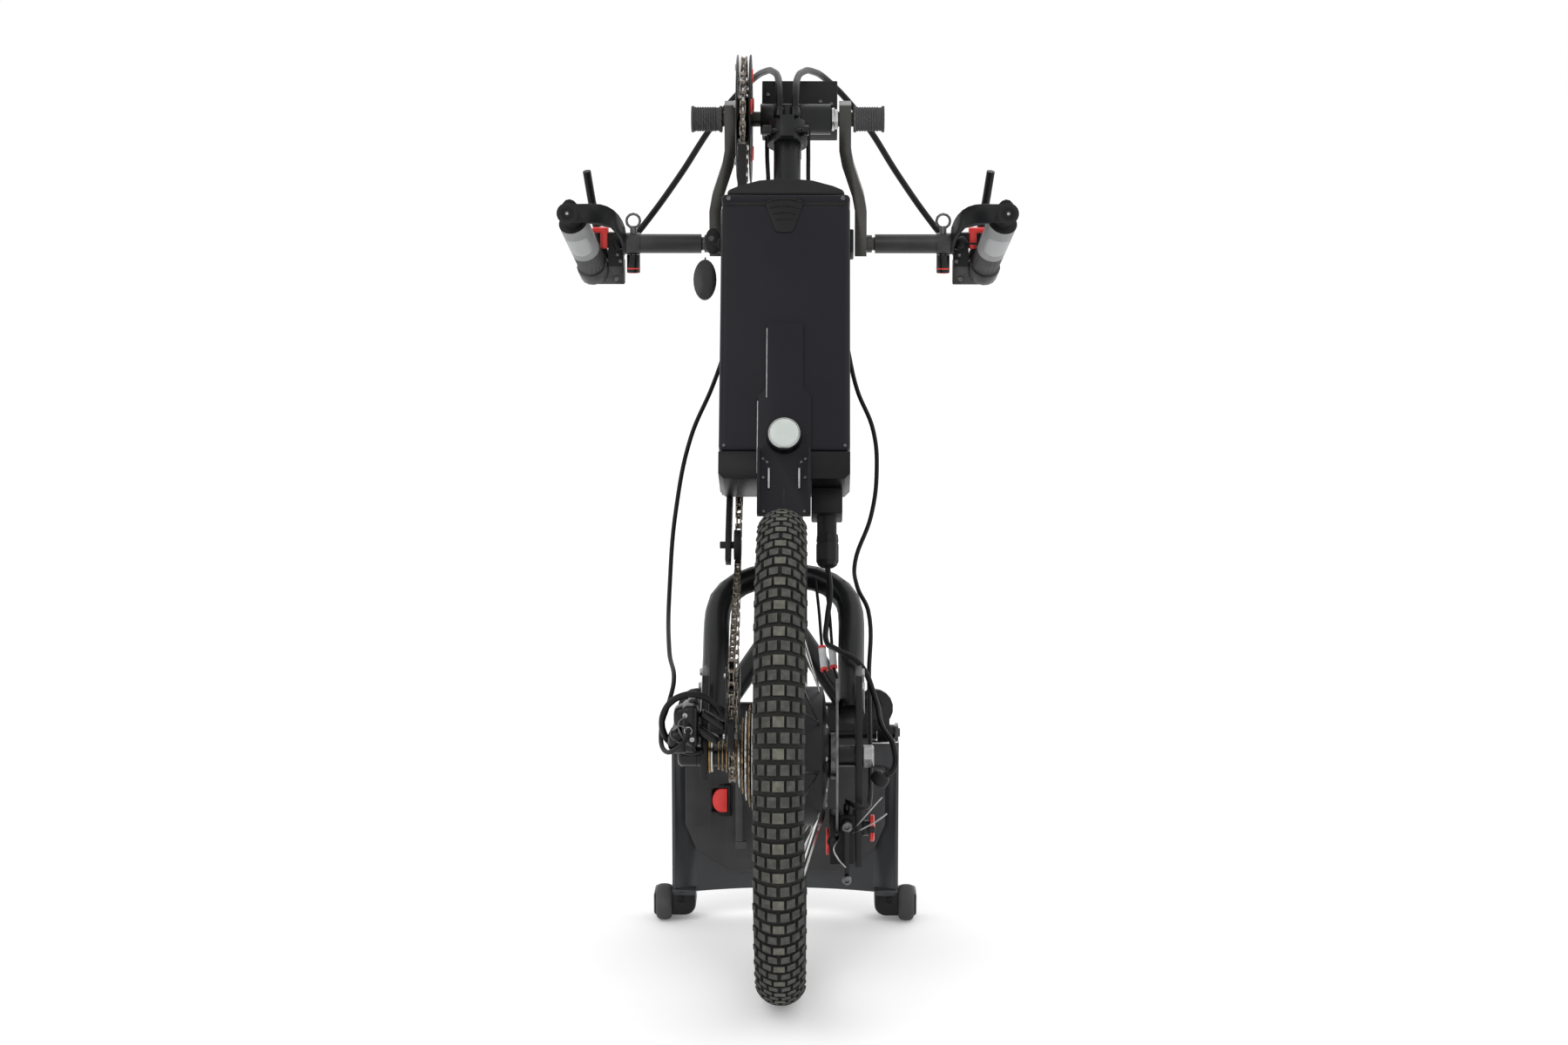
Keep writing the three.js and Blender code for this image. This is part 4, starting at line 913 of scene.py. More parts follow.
    def rotor(self) -> None:
        """Finish the brake disc and drill its ring of holes."""
        low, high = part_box("brake_rotor")
        rotor = Bench.skin("brake_rotor", 0.0, 30.0)
        radius = (high[2] - low[2]) / 2
        seat = Vector((high[0] - 6 * MM, self.place.axle.y, self.place.axle.z + radius * 0.88))
        drill = Bench.rod("drill", seat, seat + Vector(mm(12, 0, 0)), 3.0 * MM, 12, 0.0002)
        Bench.cut(rotor, Bench.repeat(drill, self.rotor_holes, self.place.axle, (1, 0, 0)))
        Bench.soften(rotor, 0.0, angle=30.0)
        dress(rotor, Finishes.DISC, Body.WHEEL, "steel")


@dataclass(frozen=True)
class Coat:
    """How one of the frame's solids is softened and finished, or a pair where its name holds {side}."""

    node: str
    finish: Finish
    body: str
    slot: str
    bevel: float = 0.6 * MM
    angle: float = 35.0


@dataclass(frozen=True)
class Skins:
    """The solids whose shape is right, with soft edges and their finish."""

    coats: tuple = (
        Coat("dock_frame", Finishes.PAINT, "dock", "paint", 0.8 * MM),
        Coat("stand_cover", Finishes.PANEL, "stand", "plastic", 2.2 * MM),
        Coat("fork_leg_{side}", Finishes.PAINT, "column", "paint", 0.8 * MM),
        Coat("fork_crown", Finishes.PAINT, "column", "paint", 1.2 * MM),
        Coat("column_tube", Finishes.PAINT, "column", "paint", 0.4 * MM),
        Coat("battery_tray", Finishes.DARK_PAINT, "column", "paint", 1.0 * MM),
        Coat("crank_housing", Finishes.PAINT, "column", "paint", 0.9 * MM),
        Coat("console_case", Finishes.PLASTIC, "column", "plastic", 1.1 * MM),
        Coat("console_button", Finishes.RED, "console_key", "red", 1.2 * MM),
        Coat("chain_guard", Finishes.PLASTIC, "column", "plastic", 0.5 * MM),
        Coat("controller_box", Finishes.PLASTIC, "column", "plastic", 1.6 * MM),
        Coat("front_idler", Finishes.PLASTIC, "front_idler", "plastic"),
        Coat("rear_idler", Finishes.PLASTIC, "rear_idler", "plastic"),
        Coat("tension_wheel", Finishes.PLASTIC, "tension_wheel", "plastic", 0.5 * MM),
        Coat("guide_wheel", Finishes.PLASTIC, "guide_wheel", "plastic", 0.5 * MM),
        Coat("brake_caliper", Finishes.PLASTIC, "column", "plastic", 2.2 * MM),
        Coat("caliper_arm", Finishes.GLOSSY, "caliper_arm", "steel"),
        Coat("battery_cells", Finishes.PLASTIC, "battery", "plastic", 0.0),
        Coat("key_tag", Finishes.TAG, "tag", "plastic"),
        Coat("crank_arm_{side}", Finishes.ARM, "crank", "arm", 2.4 * MM, 32.0),
        Coat("crank_axle", Finishes.ARM, "crank", "steel", 0.8 * MM),
        Coat("handle_sleeve_{side}", Finishes.SLEEVE, "handle_{side}", "shell", 0.5 * MM),
        Coat("handle_strap_{side}", Finishes.PAINT, "handle_{side}", "paint", 0.7 * MM),
        Coat("brake_lever_{side}", Finishes.DARK_PAINT, "lever_{side}", "paint", 0.0, 50.0),
        Coat("thumb_lever_{side}", Finishes.RED, "thumb_{side}", "red", 1.4 * MM),
    )

    def build(self) -> None:
        """Soften and finish each of them."""
        for coat in self.coats:
            for word in [side.word for side in Side] if "{side}" in coat.node else [""]:
                piece = Bench.skin(coat.node.format(side=word), coat.bevel, coat.angle)
                dress(piece, coat.finish, coat.body.format(side=word), coat.slot)


@dataclass
class Chain:
    """The chain's links, the toothed chainring and the cassette."""

    place: Place
    x: float = -51 * MM
    pitch: float = 12.7 * MM
    ring: float = 68.8 * MM
    idler: float = 21 * MM
    jockey: float = 20 * MM
    cog: float = 24 * MM
    rounds: tuple = (
        ("crank_turn", ring, 1), ("front_idler_spin", idler, -1), ("tension_wheel_spin", jockey, 1),
        ("guide_wheel_spin", jockey, -1), ("cassette_spin", cog, 1), ("rear_idler_spin", idler, 1),
    )
    arc_step: float = 6.0
    link_halves: tuple = mm(2.0, 2.95)
    link_thick: float = 0.9 * MM
    link_height: float = 8.0 * MM
    link_overlap: float = 1.42
    link_corner: float = 2.6 * MM
    roller: float = 2.6 * MM
    tooth: float = 3.6 * MM
    tooth_height: float = 4.6 * MM
    tooth_lift: float = 1.3 * MM
    tooth_foot: float = 0.62
    tooth_tip: Point = (0.45, 0.36, 1.0)
    arms: int = 5
    cogs: int = 9

    def build(self) -> None:
        """Build the chain and what it drives."""
        self.links()
        self.chainring()
        self.cassette()

    @staticmethod
    def tangent(start: tuple, end: tuple) -> tuple[float, float]:
        """Give the angles at which a straight run leaves one wheel and meets the next."""
        dy = end[0] - start[0]
        dz = end[1] - start[1]
        lift = math.asin((start[3] * start[2] - end[3] * end[2]) / math.hypot(dy, dz))
        way = math.atan2(dz, dy) + lift
        return way - start[3] * math.pi / 2, way - end[3] * math.pi / 2

    def route(self) -> list[Vector]:
        """Give the chain's closed way round its wheels as short steps."""
        joints = self.place.joints
        wheels = [(joints[name].y, joints[name].z, radius, turn) for name, radius, turn in self.rounds]
        count = len(wheels)
        runs = [self.tangent(wheels[i], wheels[(i + 1) % count]) for i in range(count)]
        points = []
        for i, (y, z, radius, turn) in enumerate(wheels):
            start = runs[i - 1][1]
            sweep = ((runs[i][0] - start) * turn) % (2 * math.pi)
            steps = max(3, math.ceil(sweep / math.radians(self.arc_step)))
            for step in range(steps + 1):
                angle = start + turn * sweep * step / steps
                points.append(Vector((self.x, y + radius * math.cos(angle), z + radius * math.sin(angle))))
        return points

    def link(self, half: float) -> bpy.types.Object:
        """Model one link: two plates with rounded ends and a roller.

        Args:
            half: How far each plate lies from the chain's middle.

        Returns:
            The link, lying along Y from the origin.
        """
        parts = []
        for sign in (-1, 1):
            plate = Bench.cube((sign * half, self.pitch / 2, 0.0))
            plate.scale = (self.link_thick, self.pitch * self.link_overlap, self.link_height)
            Bench.apply()
            bpy.ops.object.mode_set(mode="EDIT")
            mesh = bmesh.from_edit_mesh(plate.data)
            for edge in mesh.edges:
                edge.select_set(abs(edge.verts[0].co.x - edge.verts[1].co.x) > self.link_thick / 2)
            bmesh.update_edit_mesh(plate.data)
            bpy.ops.mesh.bevel(offset=self.link_corner, segments=2)
            bpy.ops.object.mode_set(mode="OBJECT")
            parts.append(plate)
        Bench.clear()
        bpy.ops.mesh.primitive_cylinder_add(
            vertices=8, radius=self.roller, depth=half * 2, rotation=(0, math.pi / 2, 0), location=(0, 0, 0),
        )
        parts.append(bpy.context.object)
        Bench.apply()
        return Bench.join("link", parts)

    def links(self) -> None:
        """Lay the links end to end along the chain's way."""
        route = self.route()
        closed = [*route, route[0]]
        spans = [(b - a).length for a, b in zip(closed, closed[1:])]
        total = sum(spans)
        count = 2 * round(total / self.pitch / 2)
        step = total / count

        def at(distance: float) -> Vector:
            """Give the place at a distance along the chain."""
            distance %= total
            for start, end, span in zip(closed, closed[1:], spans):
                if distance <= span and span > 0:
                    return start.lerp(end, distance / span)
                distance -= span
            return closed[-1]

        models = [self.link(half) for half in self.link_halves]
        copies = []
        for i in range(count):
            start = at(i * step)
            way = at((i + 1) * step) - start
            piece = models[i % 2].copy()
            piece.data = models[i % 2].data.copy()
            bpy.context.collection.objects.link(piece)
            piece.matrix_world = Matrix.Translation(start) @ Matrix.Rotation(math.atan2(way.z, way.y), 4, "X")
            copies.append(piece)
        for model in models:
            bpy.data.objects.remove(model)
        chain = Bench.join("chain_links", copies)
        Bench.settle(chain, "chain_links")
        Bench.soften(chain, 0.0, angle=40.0)
        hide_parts("chain")
        dress(chain, Finishes.LINKS, Body.COLUMN, "bronze")

    def toothed(
        self, name: str, x: float, width: float, radius: float, bore: float, centre: Vector,
    ) -> bpy.types.Object:
        """Model a toothed disc.

        Args:
            name: The disc's name.
            x: The middle of its thickness.
            width: Its thickness.
            radius: The radius at the tips of its teeth.
            bore: The radius of its hole.
            centre: Its middle.

        Returns:
            The disc with its teeth.
        """
        root = radius - self.tooth
        count = max(11, round(2 * math.pi * (root + self.tooth / 2) / self.pitch))
        half = width / 2
        profile = [(-half, bore), (-half, root), (half, root), (half, bore), (-half, bore)]
        disc = Bench.lathe(f"{name}_disc", profile, (x, centre.y, centre.z), (1, 0, 0), 64)
        tooth = Bench.cube((0, 0, 0))
        bpy.ops.object.mode_set(mode="EDIT")
        mesh = bmesh.from_edit_mesh(tooth.data)
        for vertex in mesh.verts:
            vertex.select_set(vertex.co.z > 0)
        mesh.select_flush(True)
        bmesh.update_edit_mesh(tooth.data)
        bpy.ops.transform.resize(value=self.tooth_tip, center_override=(0, 0, 0.5))
        bpy.ops.object.mode_set(mode="OBJECT")
        tooth.scale = (width * 0.9, self.pitch * self.tooth_foot, self.tooth_height)
        tooth.location = (x, centre.y, centre.z + root + self.tooth_lift)
        Bench.apply()
        teeth = Bench.repeat(tooth, count, centre, (1, 0, 0))
        return Bench.join(name, [disc, teeth])

    def chainring(self) -> None:
        """Build the toothed ring between its two guards, with bolts and cut-outs."""
        low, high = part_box("chainring")
        centre = self.place.crank
        ring = self.toothed("ring_teeth", self.x, 2.4 * MM, self.ring + 1.2 * MM, 30 * MM, centre)
        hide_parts("chainring")
        dress(ring, Finishes.SILVER, Body.CRANK, "steel")
        radius = (high[2] - low[2]) / 2
        bore = 9.5 * MM
        edge = 1.0 * MM
        for word, x in (("outer", low[0] + edge), ("inner", high[0] - edge)):
            profile = [
                (-edge, bore), (-edge, radius - 1.6 * MM), (-edge * 0.4, radius - 0.4 * MM),
                (edge * 0.4, radius), (edge, radius - 0.6 * MM), (edge, bore), (-edge, bore),
            ]
            guard = Bench.lathe(f"ring_guard_{word}", profile, (x, centre.y, centre.z), (1, 0, 0), 96)
            seat = Vector((x - 4 * MM, centre.y, centre.z + radius * 0.55))
            window = Bench.rod("window", seat, seat + Vector(mm(8, 0, 0)), radius * 0.17, 24, 0.0002)
            Bench.cut(guard, Bench.repeat(window, self.arms, centre, (1, 0, 0)))
            Bench.soften(guard, 0.0, angle=32.0)
            dress(guard, Finishes.GLOSSY if word == "outer" else Finishes.PLASTIC, Body.CRANK, "paint")
        seat = (low[0], centre.y, centre.z + radius * 0.80)
        bolt = Screw(*mm(4.2, 2.2)).build("ring_bolt", seat, (-1, 0, 0))
        dress(Bench.repeat(bolt, self.arms, centre, (1, 0, 0)), Finishes.STEEL, Body.CRANK, "steel")
        profile = [
            (low[0], bore), (low[0], 20 * MM), (self.x, 31 * MM), (high[0], 20 * MM), (high[0], bore),
            (low[0], bore),
        ]
        hub = Bench.lathe("ring_hub", profile, (0, centre.y, centre.z), (1, 0, 0))
        dress(hub, Finishes.ARM, Body.CRANK, "arm")
        seat = Vector((high[0] - 0.5 * MM, centre.y, centre.z + 50 * MM))
        red = Bench.rod("guard_red_bolts", seat, seat + Vector(mm(2.3, 0, 0)), 8.5 * MM, 24)
        dress(Bench.repeat(red, self.arms, centre, (1, 0, 0)), Finishes.RED, Body.CRANK, "red")

    def cassette(self) -> None:
        """Build the nine cogs and the core that they sit on."""
        low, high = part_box("cassette")
        centre = self.place.joints["cassette_spin"]
        small = 19.3 * MM
        large = (high[2] - low[2]) / 2
        width = 1.8 * MM
        pitch = (high[0] - low[0] - width) / (self.cogs - 1)
        for i in range(self.cogs):
            share = i / (self.cogs - 1)
            radius = small + (large - small) * share
            x = low[0] + width / 2 + pitch * i
            cog = self.toothed(f"cog_{i + 1}", x, width, radius, radius * 0.45 + 4 * MM, centre)
            if i == 0:
                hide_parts("cassette")
            dress(cog, Finishes.BRONZE if i % 2 else Finishes.SILVER, Body.CASSETTE, "bronze")
        profile = [
            (low[0], 6.6 * MM), (low[0], 15.5 * MM), (low[0] + 8 * MM, 16 * MM), (high[0] - 4 * MM, 42 * MM),
            (high[0] - 2 * MM, 42 * MM), (high[0] - 2 * MM, 6.6 * MM), (low[0], 6.6 * MM),
        ]
        core = Bench.lathe("cassette_core", profile, (0, centre.y, centre.z), (1, 0, 0))
        dress(core, Finishes.BRONZE, Body.CASSETTE, "bronze")


@dataclass
class BatteryPack:
    """The battery's shell with its collar, cap, latch, key, tab and screws."""

    place: Place
    half: float = 71.5 * MM
    front: float = -104 * MM
    back: float = -33 * MM
    foot: float = 112 * MM
    seam: float = 400.5 * MM
    top: float = 412 * MM
    edge: float = 7 * MM
    seam_gap: float = 0.8 * MM

    def build(self) -> None:
        """Build every piece of the battery."""
        self.shell()
        self.latch()
        self.key()
        self.fittings()

    def shell(self) -> None:
        """Build the shell, the collar above its seam and the core between, and finish the cap."""
        turn = self.place.column
        low = (-self.half, self.front, self.foot)
        shell = Bench.box("battery_shell", low, (self.half, self.back, self.seam), self.edge, 4, turn)
        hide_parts("battery_case")
        dress(shell, Finishes.CASE, Body.BATTERY, "case")
        low = (-self.half, self.front, self.seam + self.seam_gap)
        high = (self.half, self.back, self.top)
        collar = Bench.box("battery_collar", low, high, self.edge * 0.75, 4, turn)
        inset = 2 * MM
        core = Bench.box(
            "battery_seam", (-self.half + inset, self.front + inset, self.seam - self.edge),
            (self.half - inset, self.back - inset, self.seam + self.edge), 0.0, 1, turn,
        )
        dress(collar, Finishes.CASE, Body.BATTERY, "case")
        dress(core, Finishes.PLASTIC, Body.BATTERY, "case")
        cap = Bench.skin("battery_cap", 2.6 * MM, 25.0)
        dress(cap, Finishes.CAP, Body.BATTERY, "case")

    def latch(self) -> None:
        """Raise the fan-shaped latch with its four curved ridges."""
        middle = -1.5 * MM
        steps = 8
        half = 21.5 * MM
        foot = 10 * MM
        low = 366.5 * MM
        high = 400 * MM
        rise = 5.5 * MM
        outline = []
        for i in range(steps + 1):
            share = 2 * i / steps - 1
            outline.append((middle + half * share, high + rise * (1 - share * share)))
        for i in range(steps // 2 + 1):
            share = 1 - 4 * i / steps
            outline.append((middle + foot * share, low - 1.8 * MM * (1 - share * share)))
        turn = self.place.column @ Matrix.Translation((0.0, self.front + 0.5 * MM, 0.0))
        latch = Bench.plate("battery_latch", outline, 1.9 * MM, turn, 0.7 * MM)
        dress(latch, Finishes.PLASTIC, Body.BATTERY, "case")
        ridges = []
        for i in range(4):
            level = high - 7.2 * MM * i + 1.0 * MM
            reach = half * (1.0 - 0.16 * i) - 1.5 * MM
            points = []
            for j in range(5):
                share = j / 2 - 1
                bow = (3.6 * MM - 0.7 * MM * i) * (1 - share * share)
                place = self.place.raked(middle + reach * share, self.front - 1.4 * MM, level + bow)
                points.append(tuple(place))
            ridges.append(Bench.tube(f"ridge_{i}", points, 1.0 * MM, 2))
        dress(Bench.join("latch_ridges", ridges), Finishes.CAP, Body.BATTERY, "case")

    def key(self) -> None:
        """Shape the key with its barrel and its oval bow, which has a hole for the tag."""
        turn = self.place.column @ Matrix.Translation(mm(0, -45.5, 0))
        outline = arc(mm(-82.4, 377), mm(9.2, 16), 0.0, 2 * math.pi, 28)[:-1]
        bow = Bench.plate("bow", outline, 3 * MM, turn, 1.0 * MM)
        start = self.place.raked(*mm(-84.5, -40, 380))
        hole = Bench.rod("hole", start, start - self.place.back() * 14 * MM, 3.2 * MM, 24, 0.2 * MM)
        Bench.cut(bow, hole)
        profile = [mm(0, 0), mm(0, 8.8), mm(3.6, 8.8), mm(4.6, 7.6), mm(7, 3.4), mm(10, 3), mm(10, 0)]
        barrel = Bench.lathe("barrel", profile, self.place.raked(*mm(-71.9, -47, 372)), (-1, 0, 0), 32)
        key = Bench.join("lock_key", [bow, barrel])
        Bench.soften(key, 0.0, angle=32.0)
        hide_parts("battery_key")
        dress(key, Finishes.PLASTIC, Body.KEY, "steel")

    def fittings(self) -> None:
        """Add the tab on the right side and the small screws."""
        tab = Bench.box(
            "battery_tab", (self.half - 1 * MM, -88 * MM, 349 * MM), (self.half + 4 * MM, -62 * MM, 376 * MM),
            1.4 * MM, 3, self.place.column,
        )
        dress(tab, Finishes.PLASTIC, Body.BATTERY, "case")
        screws = []
        for x, along, radius in ((63.5, 405.8, 2.4), (65.5, 118.5, 1.8)):
            for side in Side:
                seat = self.place.raked(side.value * x * MM, self.front + 0.5 * MM, along * MM)
                screws.append(Screw(radius * MM, 1.6 * MM).build("screw", seat, -self.place.back()))
        dress(Bench.join("battery_screws", screws), Finishes.WIRE, Body.BATTERY, "steel")


@dataclass
class LampUnit:
    """The lamp bracket with its screws and inner channel, and the lamp."""

    place: Place
    face: float = -107.3 * MM
    along: float = 127 * MM
    radius: float = 19 * MM
    lens: float = 17.3 * MM

    def build(self) -> None:
        """Build the bracket and the lamp."""
        bracket = Bench.skin("lamp_bracket", 0.35 * MM, 30.0)
        dress(bracket, Finishes.CASE, Body.COLUMN, "case")
        out = -self.place.back()
        seat = self.place.raked(0.0, self.face, self.along)
        rim = self.radius + 0.6 * MM
        housing = [
            mm(0, 10), (0.0, rim), (13.4 * MM, rim), (14.6 * MM, self.radius),
            (14.6 * MM, self.lens + 0.2 * MM), (9 * MM, self.lens), mm(9, 10), mm(0, 10),
        ]
        dress(Bench.lathe("lamp_housing", housing, seat, out, 64), Finishes.GLOSSY, Body.COLUMN, "plastic")
        hoop = [
            (11 * MM, self.lens - 1.2 * MM), (11 * MM, self.lens + 0.1 * MM),
            (15.0 * MM, self.lens + 0.1 * MM), (15.6 * MM, self.lens - 0.4 * MM),
            (15.6 * MM, self.lens - 1.0 * MM),
            (11 * MM, self.lens - 1.2 * MM),
        ]
        dress(Bench.lathe("lamp_rim", hoop, seat, out, 64), Finishes.SILVER, Body.COLUMN, "steel")
        dome = [mm(9.5, 0), (9.5 * MM, self.lens - 1.0 * MM)]
        dome += arc(mm(14.6, 0), (3.2 * MM, self.lens - 1.1 * MM), math.pi / 2, -math.pi / 2, 8)
        lens = Bench.lathe("lamp_glass", dome, seat, out, 64)
        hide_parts("lamp_lens")
        dress(lens, Finishes.LENS, Body.COLUMN, "glass")
        self.screws()

    def screws(self) -> None:
        """Add the bracket's small screws, the strips of its channel, the steel strips painted as highlights
        on its left edges, and its slot.
        """
        places = [
            (-23.0, 102.0), (-18.6, 98.5), (18.6, 98.5), (23.0, 102.0), (-22.5, 81.0), (22.5, 81.0),
            (-22.0, 43.0), (22.0, 43.0),
        ]
        screws = []
        for x, along in places:
            seat = self.place.raked(x * MM, self.face + 0.2 * MM, along * MM)
            screws.append(Screw(*mm(1.7, 1.3)).build("screw", seat, -self.place.back()))
        dress(Bench.join("bracket_screws", screws), Finishes.WIRE, Body.COLUMN, "steel")
        strips = []
        for sign in (-1, 1):
            strips.append(Bench.box(
                "strip", (sign * 16.4 * MM - 1.0 * MM, self.face - 3.5 * MM, 68 * MM),
                (sign * 16.4 * MM + 1.0 * MM, self.face + 0.5 * MM, 91 * MM), 0.4 * MM, 2, self.place.column,
            ))
        dress(Bench.join("bracket_strips", strips), Finishes.STEEL, Body.COLUMN, "steel")
        # Painted highlight: thin steel strips on the left edges only, standing for the light that those edges
        # catch.
        edges = []
        for x, low, high in ((-19.6, 172.0, 252.0), (-29.2, 86.0, 168.0)):
            edges.append(Bench.box(
                "edge", (x * MM - 0.5 * MM, self.face - 0.25 * MM, low * MM),
                (x * MM + 0.5 * MM, self.face + 1.2 * MM, high * MM), 0.2 * MM, 2, self.place.column,
            ))
        dress(Bench.join("bracket_edges", edges), Finishes.STEEL, Body.COLUMN, "steel")
        slot = Bench.box(
            "bracket_slot", (-1.2 * MM, self.face - 0.4 * MM, 48 * MM),
            (1.2 * MM, self.face + 0.5 * MM, 68 * MM), 0.3 * MM, 2, self.place.column,
        )
        dress(slot, Finishes.CAP, Body.COLUMN, "plastic")


@dataclass
class AxleEnds:
    """The wheel's axle with its cap, washers, spacers, small cogs and nut."""

    place: Place
    cap: float = 11 * MM
    washer: float = 18 * MM
    spacer: float = 11 * MM
    bar: float = 6 * MM

    def build(self) -> None:
        """Turn each piece of the axle."""
        centre = self.place.axle
        start = (0.0, centre.y, centre.z)
        low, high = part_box("hub_axle")
        left = low[0] + 24 * MM
        right = high[0] - 12 * MM
        inner = 75.7 * MM
        bar = [
            (left - 8 * MM, 0.0), (left - 8 * MM, self.bar), (right + 8 * MM, self.bar),
            (right + 8 * MM, 0.0),
        ]
        cap = [
            (low[0], 0.0), (low[0], self.cap * 0.62), (low[0] + 0.8 * MM, self.cap * 0.8),
            (low[0] + 2.6 * MM, self.cap * 0.95), (low[0] + 4.5 * MM, self.cap), (left - 5.0 * MM, self.cap),
            (left - 4.6 * MM, self.cap * 0.93), (left - 3.8 * MM, self.cap * 0.93),
            (left - 3.4 * MM, self.cap), (left - 0.6 * MM, self.cap), (left, self.cap * 0.95), (left, 0.0),
        ]
        gold = self.disc(-inner, -inner + 2.2 * MM, self.washer)
        silver = self.disc(-inner + 2.3 * MM, -inner + 5 * MM, self.washer - 0.8 * MM)
        spacer_left = self.disc(-inner + 5 * MM, -52.3 * MM, self.spacer)
        spacer_right = self.disc(58.6 * MM, inner, self.spacer)
        pieces = [
            ("axle_bar", bar, Finishes.STEEL, "steel"), ("axle_cap", cap, Finishes.GLOSSY, "plastic"),
            ("axle_washer_gold", gold, Finishes.GOLD, "bronze"),
            ("axle_washer_silver", silver, Finishes.SILVER, "steel"),
            ("axle_spacer_left", spacer_left, Finishes.GLOSSY, "plastic"),
            ("axle_spacer_right", spacer_right, Finishes.GLOSSY, "plastic"),
        ]
        for i in range(3):
            left_side = -66 * MM + 4.2 * MM * i
            profile = self.disc(left_side, left_side + 2 * MM, 14.5 * MM + 1.4 * MM * i)
            pieces.append((f"small_cog_{i}", profile, Finishes.BRONZE, "bronze"))
        for name, profile, finish, slot in pieces:
            piece = Bench.lathe(name, profile, start, (1, 0, 0), 48)
            if name == "axle_bar":
                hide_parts("hub_axle")
            dress(piece, finish, Body.COLUMN, slot)
        profile = [
            (right, self.bar), (right, 11.6 * MM), (right + 1 * MM, 12.4 * MM),
            (right + 10.4 * MM, 12.4 * MM), (right + 11.8 * MM, 10.6 * MM), (right + 11.8 * MM, self.bar),
            (right, self.bar),
        ]
        nut = Bench.lathe("axle_nut", profile, start, (1, 0, 0), 6, 10.0)
        Bench.soften(nut, 0.5 * MM, 2, 25.0)
        dress(nut, Finishes.STEEL, Body.COLUMN, "steel")

    def disc(self, left: float, right: float, radius: float) -> list[tuple[float, float]]:
        """Give the profile of a ring with soft edges that fits round the axle."""
        edge = min(0.5 * MM, (right - left) * 0.3)
        bore = self.bar + 0.2 * MM
        return [
            (left, bore), (left, radius - edge), (left + edge, radius), (right - edge, radius),
            (right, radius - edge), (right, bore), (left, bore),
        ]


